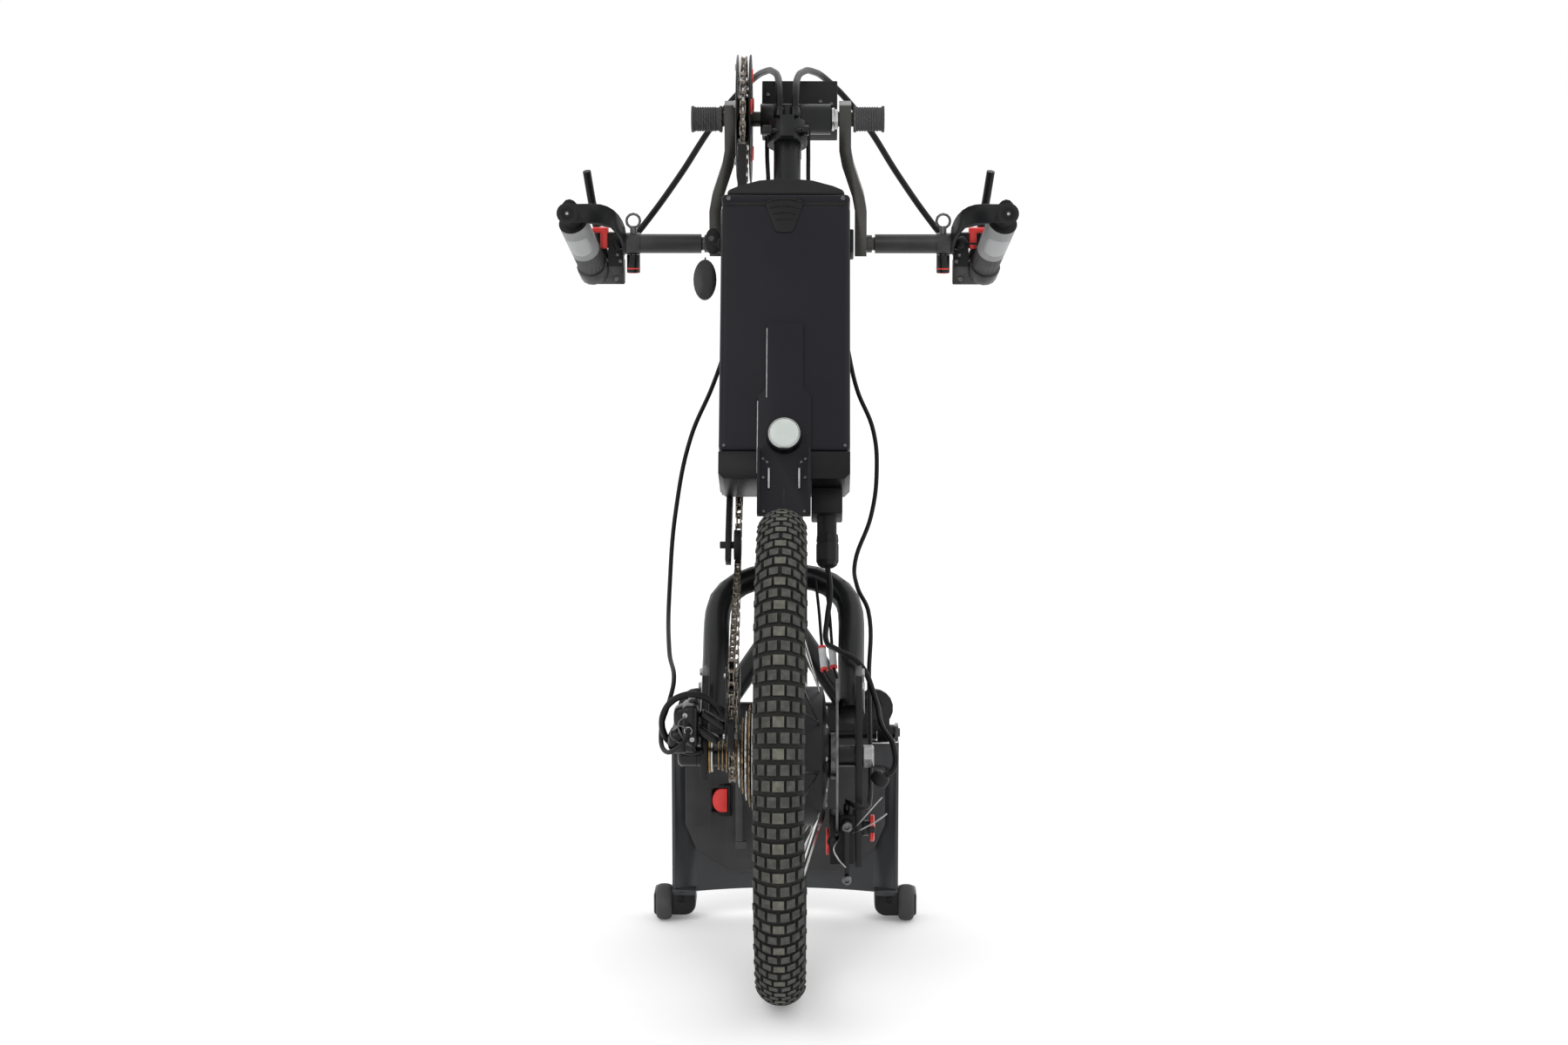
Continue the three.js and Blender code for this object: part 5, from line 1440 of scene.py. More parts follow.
@dataclass
class Grips:
    """The rubber grips on the crank's axle and the two hand grips."""

    place: Place
    peg: float = 14 * MM
    flange: float = 15.5 * MM
    bore: float = 9.1 * MM
    radius: float = 17.5 * MM
    split: float = 0.66
    held: tuple = (0.03, 0.98)
    pad_half: float = 15 * MM
    pad_turn: float = 52.0
    pad_at: float = 0.36
    pad_round: float = 0.24
    pad_rise: float = 1.4 * MM
    pad_thick: float = 1.2 * MM
    pad_steps: int = 20
    top: Point = mm(252, -42, 28)
    foot: Point = mm(235, 20, -26)

    def build(self) -> None:
        """Build both sides."""
        for side in Side:
            self.axle_grip(side)
            self.hand_grip(side)

    def axle_grip(self, side: Side) -> None:
        """Turn one grip on the axle's end, with a flange at each end and ribs between."""
        low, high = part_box(f"axle_grip_{side.word}")
        length = high[0] - low[0]
        profile = [
            (0.0, self.bore), (0.0, self.flange - 0.8 * MM), (0.8 * MM, self.flange), (3.0 * MM, self.flange),
            (3.6 * MM, self.peg),
        ]
        pitch = 2.9 * MM
        crest = self.peg + 0.4 * MM
        groove = self.peg - 0.4 * MM
        place = 3.6 * MM
        while place + pitch < length - 3.8 * MM:
            profile += [
                (place + pitch * 0.2, crest), (place + pitch * 0.6, crest), (place + pitch * 0.8, groove),
                (place + pitch, groove),
            ]
            place += pitch
        profile += [
            (length - 3.6 * MM, self.peg), (length - 3.0 * MM, self.flange), (length - 0.8 * MM, self.flange),
            (length, self.flange - 0.8 * MM), (length, self.bore), (0.0, self.bore),
        ]
        start = (low[0], self.place.crank.y, self.place.crank.z)
        grip = Bench.lathe(f"axle_grip_rubber_{side.word}", profile, start, (1, 0, 0), angle=40.0)
        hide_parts(f"axle_grip_{side.word}")
        dress(grip, Finishes.RIBBED, Body.CRANK, "rubber")

    def hand_grip(self, side: Side) -> None:
        """Soften one hand grip: grey and ribbed rubber where it is held, a grey clamp and a black head."""
        node = f"hand_grip_{side.word}"
        piece = Bench.skin(node, 0.5 * MM, 40.0)
        dress(piece, Finishes.GRIP, f"handle_{side.word}", "grip")
        for finish in (Finishes.PLASTIC, Finishes.CLAMP, Finishes.RIBBED):
            piece.data.materials.append(finish.material())
        start, end = self.ends(side)
        way = end - start
        Bench.take(piece)
        Bench.edit()
        bpy.ops.mesh.bisect(plane_co=start.lerp(end, self.split), plane_no=way.normalized())
        bpy.ops.object.mode_set(mode="OBJECT")
        for face in piece.data.polygons:
            share = (Vector(face.center) - start).dot(way) / way.length_squared
            gap = (Vector(face.center) - start - way * share).length
            first, last = self.held
            if first < share < last and abs(gap - self.radius * 0.97) < 1.2 * MM:
                face.material_index = 0 if share < self.split else 3
            else:
                face.material_index = 2 if share > last and gap < 21 * MM else 1
        self.pad(side)

    def ends(self, side: Side) -> tuple[Vector, Vector]:
        """Give the two ends of one hand grip's middle line."""
        start, end = (
            self.place.spindle + Vector((side.value * x, y, z)) for x, y, z in (self.top, self.foot)
        )
        return start, end

    def pad(self, side: Side) -> None:
        """Wrap the rounded square pad round the front of the grip's upper half."""
        start, end = self.ends(side)
        way = (end - start).normalized()
        out = Vector((1, 0, 0)).cross(way).normalized()
        if out.y > 0:
            out = -out
        sideways = way.cross(out).normalized()
        middle = start.lerp(end, self.pad_at)
        Bench.clear()
        steps = self.pad_steps
        bpy.ops.mesh.primitive_grid_add(x_subdivisions=steps, y_subdivisions=steps, size=2.0)
        pad = bpy.context.object
        for vertex in pad.data.vertices:
            across, along = vertex.co.x, vertex.co.y
            rim = max(abs(across), abs(along))
            lift = self.radius - 0.5 * MM + self.pad_rise * (1.0 - rim ** 8)
            turn = math.radians(self.pad_turn) * across * math.sqrt(1.0 - along * along * self.pad_round)
            length = self.pad_half * along * math.sqrt(1.0 - across * across * self.pad_round)
            vertex.co = middle + way * length + (out * math.cos(turn) + sideways * math.sin(turn)) * lift
        bpy.ops.object.modifier_add(type="SOLIDIFY")
        pad.modifiers[-1].thickness = self.pad_thick
        pad.modifiers[-1].offset = -1.0
        bpy.ops.object.modifier_apply(modifier=pad.modifiers[-1].name)
        Bench.edit()
        Bench.leave()
        Bench.soften(pad, 0.0, angle=50.0)
        Bench.settle(pad, f"grip_pad_{side.word}")
        dress(pad, Finishes.PAD, f"handle_{side.word}", "grip")


@dataclass
class Cables:
    """The cables, drawn smoothly along the ways that the frame's solids follow.

    The places are in millimetres: stops, plug, ears and core in the raked column's frame, and the
    others as spot() counts them.
    """

    place: Place
    stops: tuple = (24, 34, 547.3, 524.7)
    plug: tuple = (46.3, -53, 17.4, 5.7)
    ears: tuple = (9, -19.6, 552.0, 540.3)
    core: tuple = (47, -53, 34, -5)
    gear: tuple = (
        (-24, 500, 800), (-48, 420, 720), (-66, 350, 650), (-82, 322, 604), (-106, 300, 548),
        (-122, 282, 470), (-127, 232, 392), (-122, 120, 340), (-114, 52, 322), (-118, 24, 305),
        (-124, -10, 285), (-118, -44, 270), (-104, -62, 278), (-96, -66, 288), (-94, -58, 295),
        (-94, -52.4, 295),
    )
    brake: tuple = (
        (26, 500, 800), (50, 420, 716), (68, 350, 650), (80, 318, 600), (98, 302, 556), (102, 296, 511),
        (96, 290, 462), (78, 272, 412), (80, 240, 390), (92, 208, 368), (92, 140, 310), (92, 60, 256),
        (92, 22, 228), (91, -16, 214), (87, -38, 210), (78, -44, 212), (69, -34, 215), (67, -18, 209),
        (67, -18, 200.4),
    )
    motor: tuple = (
        (50, 158, 396), (47, 150, 372), (46, 130, 350), (58, 104, 346), (80, 92, 335), (98, 62, 300),
        (104, 30, 280), (116, 8, 262), (114, -4, 240), (104, -6, 236),
    )
    handle: tuple = (
        (206, 593.6, 724), (196, 593.6, 742), (176, 592, 766), (134, 640, 824), (94, 690, 886),
        (72, 700, 914), (46, 676, 940), (28, 620, 951), (18, 560, 951), (11, 502, 943), (9.5, 464, 926),
    )
    leads: tuple = (
        ((34, 212, 402), (38, 184, 372), (41, 158, 340), (44, 138, 316), (56, 118, 300)),
        ((44, 222, 402), (49, 190, 372), (52, 160, 340), (54, 142, 318), (59, 128, 306)),
    )

    def beside(self, row: tuple, side: int = 1) -> list[Point]:
        """Give places on one line along the column.

        Args:
            row: How far the line lies to the right and back, and each place's distance up it.
            side: The side, -1 or 1.

        Returns:
            The places in the row's metres.
        """
        x, back, *ups = row
        return [tuple(self.place.raked(*mm(side * x, back, along))) for along in ups]

    def build(self) -> None:
        """Draw each cable with the sleeves and ferrules on it."""
        ways = (
            ("gear_cable", self.beside(self.stops, -1), self.gear, 2.5 * MM),
            ("brake_cable", self.beside(self.stops), self.brake, 2.5 * MM),
            ("motor_cable", self.beside(self.plug), self.motor, 3.0 * MM),
        )
        routes = {name: (top + [spot(*place) for place in way], width) for name, top, way, width in ways}
        for side in Side:
            route = [spot(side.value * x, y, z) for x, y, z in self.handle]
            route += self.beside(self.ears, side.value)
            routes[f"handle_cable_{side.word}"] = (route, 4.0 * MM)
        for node, (route, radius) in routes.items():
            cable = Bench.tube(f"{node}_jacket", route, radius, 3)
            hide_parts(node)
            dress(cable, Finishes.CABLE, Body.COLUMN, "rubber")
        self.ferrules()
        self.sleeves()
        self.connector()

    def ferrules(self) -> None:
        """Add a metal ferrule where each cable enters its stop."""
        ends = [
            (spot(-94, -61, 295), spot(-94, -52.4, 295), 3.4 * MM),
            (spot(67, -18, 209), spot(67, -18, 200.4), 3.4 * MM),
        ]
        x, back, top, _ = self.ears
        for side in Side:
            ends.append((*self.beside((x, back, top, 541), side.value), 5.0 * MM))
        rods = [Bench.rod("ferrule", start, end, radius, 24, 0.8 * MM) for start, end, radius in ends]
        dress(Bench.join("cable_ferrules", rods), Finishes.GLOSSY, Body.COLUMN, "plastic")

    def sleeves(self) -> None:
        """Lead two thin wires down the right leg, with a pale sleeve and red ends on each."""
        wires = []
        pale = []
        red = []
        for route in self.leads:
            points = [spot(*point) for point in route]
            wires.append(Bench.tube("wire", points, 1.7 * MM, 2))
            top = Vector(points[2]).lerp(Vector(points[3]), 0.05)
            low = Vector(points[3])
            way = low - top
            pale.append(Bench.rod("pale", top + way * 0.1, low - way * 0.1, 4.0 * MM, 24, 0.6 * MM))
            red.append(Bench.rod("red", top, top + way * 0.1, 4.2 * MM, 24, 0.6 * MM))
            red.append(Bench.rod("red", low - way * 0.1, low, 4.2 * MM, 24, 0.6 * MM))
        dress(Bench.join("motor_leads", wires), Finishes.CABLE, Body.COLUMN, "rubber")
        dress(Bench.join("lead_sleeves", pale), Finishes.PALE, Body.COLUMN, "plastic")
        dress(Bench.join("lead_sleeve_ends", red), Finishes.RED, Body.COLUMN, "red")

    def connector(self) -> None:
        """Add the ribbed ferrite core on the motor cable, and the round end at the axle."""
        top, foot = (Vector(end) for end in self.beside(self.core))
        length = (foot - top).length
        profile = [
            mm(0, 3), mm(0, 9), mm(1.6, 11.6), (length * 0.25, 12.4 * MM), (length * 0.28, 11.4 * MM),
            (length * 0.32, 12.4 * MM), (length * 0.82, 12.4 * MM), (length - 2 * MM, 10 * MM),
            (length, 5 * MM), (length, 3 * MM),
        ]
        core = Bench.lathe("cable_core", profile, top, foot - top, 8, 20.0)
        Bench.soften(core, 0.8 * MM, 2, 25.0)
        dress(core, Finishes.PLASTIC, Body.COLUMN, "plastic")
        start = Vector(spot(106, -6, 238))
        end = Vector(spot(98, -5, 228))
        profile = [mm(0, 0), mm(0, 6), mm(2, 8.6), mm(6, 10), mm(11, 10), mm(13, 8), mm(13, 0)]
        boot = Bench.lathe("motor_cable_boot", profile, start, end - start, 40)
        dress(boot, Finishes.PLASTIC, Body.COLUMN, "plastic")


@dataclass
class Derailleur:
    """The derailleur's body, links, cage and adjusters.

    The face and the blocks are in millimetres, as spot() counts them.
    """

    place: Place
    face: float = -52.0
    cage: float = 9.5 * MM
    lean: float = 32.0
    blocks: tuple = (
        ((-101.5, -50, 275), (-84, -8, 318), 6.5), ((-99, -46, 268), (-86, 6, 286), 5.0),
        ((-96, -30, 300), (-84, 12, 321), 5.0), ((-116, -46, 266), (-92, -22, 292), 9.0),
        ((-110, -44, 292), (-90, -18, 316), 8.0),
    )

    def build(self) -> None:
        """Build the mechanism from the body outwards."""
        self.body()
        self.cage_plates()
        self.adjusters()

    def body(self) -> None:
        """Model the mounting body and its slanting links."""
        parts = []
        for low, high, bevel in self.blocks:
            parts.append(Bench.box("block", spot(*low), spot(*high), bevel * MM, 4))
        lean = Matrix.Rotation(math.radians(self.lean), 4, "Y")
        for x, z in ((-78.0, 286.0), (-70.0, 300.0)):
            turn = Matrix.Translation(spot(x, -30, z)) @ lean
            parts.append(Bench.box("link", mm(-15, -7, -4), mm(15, 7, 4), 2.6 * MM, 3, turn))
        body = Bench.join("derailleur_body", parts)
        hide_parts("derailleur")
        dress(body, Finishes.GLOSSY, Body.COLUMN, "plastic")

    def cage_plates(self) -> None:
        """Model the cage round the two wheels, with a bolt through each."""
        first = self.place.joints["tension_wheel_spin"]
        second = self.place.joints["guide_wheel_spin"]
        way = second - first
        length = math.hypot(way.y, way.z)
        lean = math.atan2(way.z, way.y)
        outline = arc((0.0, 0.0), (self.cage, self.cage), math.pi / 2, math.pi, 10)
        outline += arc((length, 0.0), (self.cage, self.cage), -math.pi / 2, math.pi, 10)
        plates = []
        for x in mm(-57.4, -44.2):
            turn = Matrix.Translation((x, first.y, first.z)) @ Matrix.Rotation(lean, 4, "X")
            turn = turn @ Matrix.Rotation(math.pi / 2, 4, "Z")
            plates.append(Bench.plate("plate", outline, 1.6 * MM, turn, 0.4 * MM))
        dress(Bench.join("derailleur_cage", plates), Finishes.GLOSSY, Body.COLUMN, "plastic")
        bolts = []
        for centre in (first, second):
            start = Vector((-59.6 * MM, centre.y, centre.z))
            bolts.append(Bench.rod("bolt", start, start + Vector(mm(15.4, 0, 0)), 3.0 * MM, 20))
        dress(Bench.join("derailleur_bolts", bolts), Finishes.STEEL, Body.COLUMN, "steel")

    def adjusters(self) -> None:
        """Add the barrel, the limit screws, the bare cable's tails and the loop of housing."""
        ends = [spot(-94, self.face - out, 295) for out in (1, 8)]
        parts = [Bench.rod("barrel", *ends, 4.4 * MM, 12)]
        for x, z in ((-97.0, 284.0), (-90.5, 284.0), (-97.5, 309.0)):
            seat = spot(x, self.face + 2.2, z)
            parts.append(Screw(*mm(2.6, 2.2)).build("screw", seat, (0, -1, 0)))
        dress(Bench.join("derailleur_screws", parts), Finishes.STEEL, Body.COLUMN, "steel")
        tails = [
            [(-94, -60, 296), (-104, -63, 301), (-112, -60, 294), (-106, -56, 283), (-97, -51, 281)],
            [(-98, -52, 308), (-104, -58, 302), (-100, -60, 289), (-92, -56, 279), (-88, -50, 277)],
        ]
        wires = [Bench.tube("tail", [spot(*point) for point in tail], 0.8 * MM, 2) for tail in tails]
        dress(Bench.join("derailleur_wire", wires), Finishes.WIRE, Body.COLUMN, "steel")
        loop = []
        for i in range(13):
            angle = math.radians(20 + 270 * i / 12)
            rise = math.sin(angle)
            loop.append(spot(-91 + 31 * math.cos(angle), -34 - 8 * rise, 297 + 32 * rise))
        dress(Bench.tube("derailleur_housing", loop, 3.4 * MM, 2), Finishes.CABLE, Body.COLUMN, "rubber")


@dataclass
class Brake:
    """The caliper's knobs, bosses, bolts and wire, beside the skins of its body and arm."""

    place: Place

    def build(self) -> None:
        """Add the brake's fittings."""
        y = spot(0, -16, 0)[1]
        knobs = []
        for start, rim, radius, z in ((45.8, 3.2, 14.5, 169.0), (91.0, 4.6, 14.0, 183.0)):
            rim *= MM
            radius *= MM
            profile = [
                (0.0, 0.0), (0.0, radius * 0.9), (rim * 0.2, radius), (rim * 0.42, radius),
                (rim * 0.5, radius * 0.9), (rim * 0.58, radius), (rim * 0.85, radius), (rim, radius * 0.9),
                (rim, 0.0),
            ]
            knobs.append(Bench.lathe("knob", profile, (start * MM, y, z * MM), (1, 0, 0), 36))
        dress(Bench.join("brake_knobs", knobs), Finishes.RED, Body.COLUMN, "red")
        boss = Bench.rod("brake_boss", (82.6 * MM, y, 183 * MM), (91.4 * MM, y, 183 * MM), 8 * MM, 28)
        low = (89 * MM, y - 15.2 * MM, 181 * MM)
        band = Bench.box("brake_band", low, (96.4 * MM, y + 15.2 * MM, 188 * MM), 1.4 * MM, 3)
        front = (52 * MM, y - 15.4 * MM, 172 * MM)
        cover = Bench.rod("brake_cover", front, (52 * MM, y - 12 * MM, 172 * MM), 5 * MM, 24)
        dress(Bench.join("brake_bosses", [boss, band, cover]), Finishes.GLOSSY, Body.COLUMN, "plastic")
        low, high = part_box("caliper_arm")
        middle = (low[0] + high[0]) / 2
        bolts = []
        for z, radius in ((high[2] - 5.8 * MM, 5.4 * MM), (low[2] + 5 * MM, 4.8 * MM)):
            profile = [
                (0.0, 0.0), (0.0, radius), (3.4 * MM, radius), (4.4 * MM, radius * 0.84),
                (4.4 * MM, radius * 0.5), (1.6 * MM, radius * 0.46), mm(1.6, 0),
            ]
            bolts.append(Bench.lathe("bolt", profile, (middle, low[1] + 0.2 * MM, z), (0, -1, 0), 32))
        dress(Bench.join("brake_bolts", bolts), Finishes.WIRE, Body.CALIPER_ARM, "steel")
        routes = [
            [(73, -32, 186), (80, -44, 196), (92, -50, 212), (103, -48, 224)],
            [(74, -32, 182), (84, -44, 190), (98, -48, 199), (108, -46, 206)],
            [(60, -33, 176), (54, -40, 168), (58, -44, 158), (66, -42, 148)],
        ]
        wires = [Bench.tube("wire", [spot(*point) for point in route], 0.9 * MM, 2) for route in routes]
        dress(Bench.join("brake_wire", wires), Finishes.STEEL, Body.COLUMN, "steel")


@dataclass
class CrankParts:
    """The lock ring, the clamp's bolt, the console's screws and the spindles' collars."""

    place: Place

    def build(self) -> None:
        """Add the fittings at the top of the column."""
        centre = self.place.crank
        profile = [
            mm(0, 9.4), mm(0, 12.6), mm(1.2, 13.6), mm(3.6, 13.6), mm(4.4, 11.8), mm(8, 11.6), mm(8, 9.4),
            mm(0, 9.4),
        ]
        ring = Bench.lathe("crank_lock_ring", profile, (50.6 * MM, centre.y, centre.z), (1, 0, 0), 40)
        dress(ring, Finishes.SILVER, Body.CRANK, "steel")
        raked = self.place.raked
        ends = [raked(*mm(x, -19, 524)) for x in (-21, 20, 17, 25)]
        bolt = [
            Bench.rod("bolt", ends[0], ends[1], 3 * MM, 20),
            Bench.rod("knob", ends[2], ends[3], 6 * MM, 24, 1 * MM),
            Bench.box("lug", mm(-29, -24, 519), mm(-17, -14, 529), 1.6 * MM, 3, self.place.column),
        ]
        dress(Bench.join("clamp_bolt", bolt), Finishes.GLOSSY, Body.COLUMN, "steel")
        screws = []
        for x, along in ((38.0, 597.0), (51.0, 594.0), (-24.0, 606.0)):
            seat = raked(*mm(x, 64.2, along))
            screws.append(Screw(*mm(2.4, 1.4)).build("screw", seat, -self.place.back()))
        dress(Bench.join("console_screws", screws), Finishes.WIRE, Body.COLUMN, "steel")
        collars = []
        profile = [mm(0, 8.2), mm(0, 10.6), mm(6, 10.6), mm(6, 8.2), mm(0, 8.2)]
        for side in Side:
            foot = Vector((side.value * 93.4 * MM, self.place.spindle.y, self.place.spindle.z))
            collars.append(Bench.lathe("collar", profile, foot, (side.value, 0, 0), 32))
        dress(Bench.join("spindle_collars", collars), Finishes.ARM, Body.CRANK, "arm")


@dataclass
class HandleParts:
    """The pull pins, the straps' end bolts and the small parts of each lever clamp."""

    place: Place
    strap_end: Point = mm(257.3, -62, 39)
    pin_x: float = 184 * MM

    def build(self) -> None:
        """Build both sides, and the adjuster that only the right one has."""
        for side in Side:
            self.pin(side)
            self.strap_bolt(side)
            self.clamp(side)
        self.adjuster()

    def near(self, side: Side, x: float, y: float, z: float) -> Vector:
        """Give a place beside the handles' axis, in metres."""
        return self.place.spindle + Vector((side.value * x, y, z))

    def pin(self, side: Side) -> None:
        """Finish a pull pin, black below its collar and steel at its ring, with a red end."""
        piece = Bench.skin(f"pull_pin_{side.word}", 0.5 * MM, 40.0)
        dress(piece, Finishes.WIRE, f"pin_{side.word}", "steel")
        piece.data.materials.append(Finishes.GLOSSY.material())
        for face in piece.data.polygons:
            face.material_index = 1 if face.center.z < self.place.spindle.z else 0
        parts = []
        for start, end, radius in ((-30.2, -28.4, 8.3), (-34.9, -32.6, 7.4)):
            top = self.near(side, self.pin_x, 0, start * MM)
            low = self.near(side, self.pin_x, 0, end * MM)
            parts.append(Bench.rod("end", top, low, radius * MM, 28, 0.7 * MM))
        dress(Bench.join(f"pin_end_{side.word}", parts), Finishes.RED, f"pin_{side.word}", "red")

    def strap_bolt(self, side: Side) -> None:
        """Add the bolt in the strap's round end."""
        x, y, z = self.strap_end
        seat = self.near(side, x, y + 0.2 * MM, z)
        profile = [mm(0, 6.2), mm(0, 8.2), mm(0.9, 7.8), mm(0.9, 6.6), mm(0, 6.2)]
        ring = Bench.lathe(f"strap_ring_{side.word}", profile, seat, (0, -1, 0), 40)
        bolt = Screw(*mm(5.6, 1.0)).build("bolt", seat, (0, -1, 0))
        dress(ring, Finishes.GLOSSY, f"handle_{side.word}", "paint")
        bolt.name = f"strap_bolt_{side.word}"
        dress(bolt, Finishes.GLOSSY, f"handle_{side.word}", "paint")
        end = seat + Vector(mm(0, -1.5, 0))
        pin = Bench.rod(f"strap_pin_{side.word}", seat, end, 2.0 * MM, 6, 0.3 * MM)
        dress(pin, Finishes.STEEL, f"handle_{side.word}", "steel")

    def clamp(self, side: Side) -> None:
        """Add the silver screws on the lever's clamp."""
        parts = []
        places = ((204.0, 12.0, -14.0, 2.0), (200.5, 12.0, -21.5, 2.4), (206.0, 22.0, -43.0, 3.0))
        for x, y, z, radius in places:
            seat = self.near(side, x * MM, y * MM + 0.2 * MM, z * MM)
            parts.append(Screw(radius * MM, 2.0 * MM).build("screw", seat, (0, -1, 0)))
        start = self.near(side, *mm(209, 10, 8))
        end = self.near(side, *mm(201, 6, -8))
        dress(Bench.join(f"clamp_screws_{side.word}", parts), Finishes.WIRE, f"handle_{side.word}", "steel")
        guide = Bench.rod(f"clamp_barrel_{side.word}", start, end, 4.6 * MM, 24, 1.2 * MM)
        dress(guide, Finishes.PLASTIC, f"handle_{side.word}", "plastic")

    def adjuster(self) -> None:
        """Add the round adjuster and its thin cable beside the right grip."""
        middle = self.near(Side.RIGHT, *mm(206, 4, 1))
        Bench.clear()
        bpy.ops.mesh.primitive_uv_sphere_add(segments=28, ring_count=16, radius=7.6 * MM, location=middle)
        knob = bpy.context.object
        Bench.soften(knob, 0.0, angle=60.0)
        Bench.settle(knob, "shift_adjuster")
        dress(knob, Finishes.PLASTIC, "handle_right", "plastic")
        route = [
            self.near(Side.RIGHT, *mm(x, y, z))
            for x, y, z in ((212, 3, 1), (222, 2, 0), (232, 2, -1), (240, 0, -3))
        ]
        cable = Bench.tube("shift_cable", [tuple(point) for point in route], 1.3 * MM, 2)
        dress(cable, Finishes.CABLE, "handle_right", "rubber")


@dataclass
class DockParts:
    """The docking frame's ear bosses and bolts, and the fork's bolts."""

    place: Place
    ear_x: float = 100 * MM
    ear_y: float = 76.65 * MM
    ear_z: float = 230 * MM

    def build(self) -> None:
        """Add the fittings on the dock and the fork."""
        bosses = []
        bolts = []
        profile = [mm(0, 0), mm(0, 14), mm(3, 13), mm(5, 9.5), mm(5, 0)]
        for side in Side:
            seat = Vector((side.value * self.ear_x, self.ear_y, self.ear_z))
            bosses.append(Bench.lathe("boss", profile, seat, (0, -1, 0), 40))
            bolts.append(Screw(*mm(5, 3)).build("bolt", seat + Vector(mm(0, -5, 0)), (0, -1, 0)))
        dress(Bench.join("dock_bosses", bosses), Finishes.GLOSSY, Body.DOCK, "paint")
        dress(Bench.join("dock_bolts", bolts), Finishes.DARK_PAINT, Body.DOCK, "steel")
        fork = []
        for side in Side:
            for y, z in ((-6.0, 330.0), (26.0, 338.0)):
                seat = spot(side.value * 83.0, y, z)
                fork.append(Screw(*mm(4, 2.6)).build("bolt", seat, (side.value, 0, 0)))
        dress(Bench.join("fork_bolts", fork), Finishes.STEEL, Body.COLUMN, "steel")


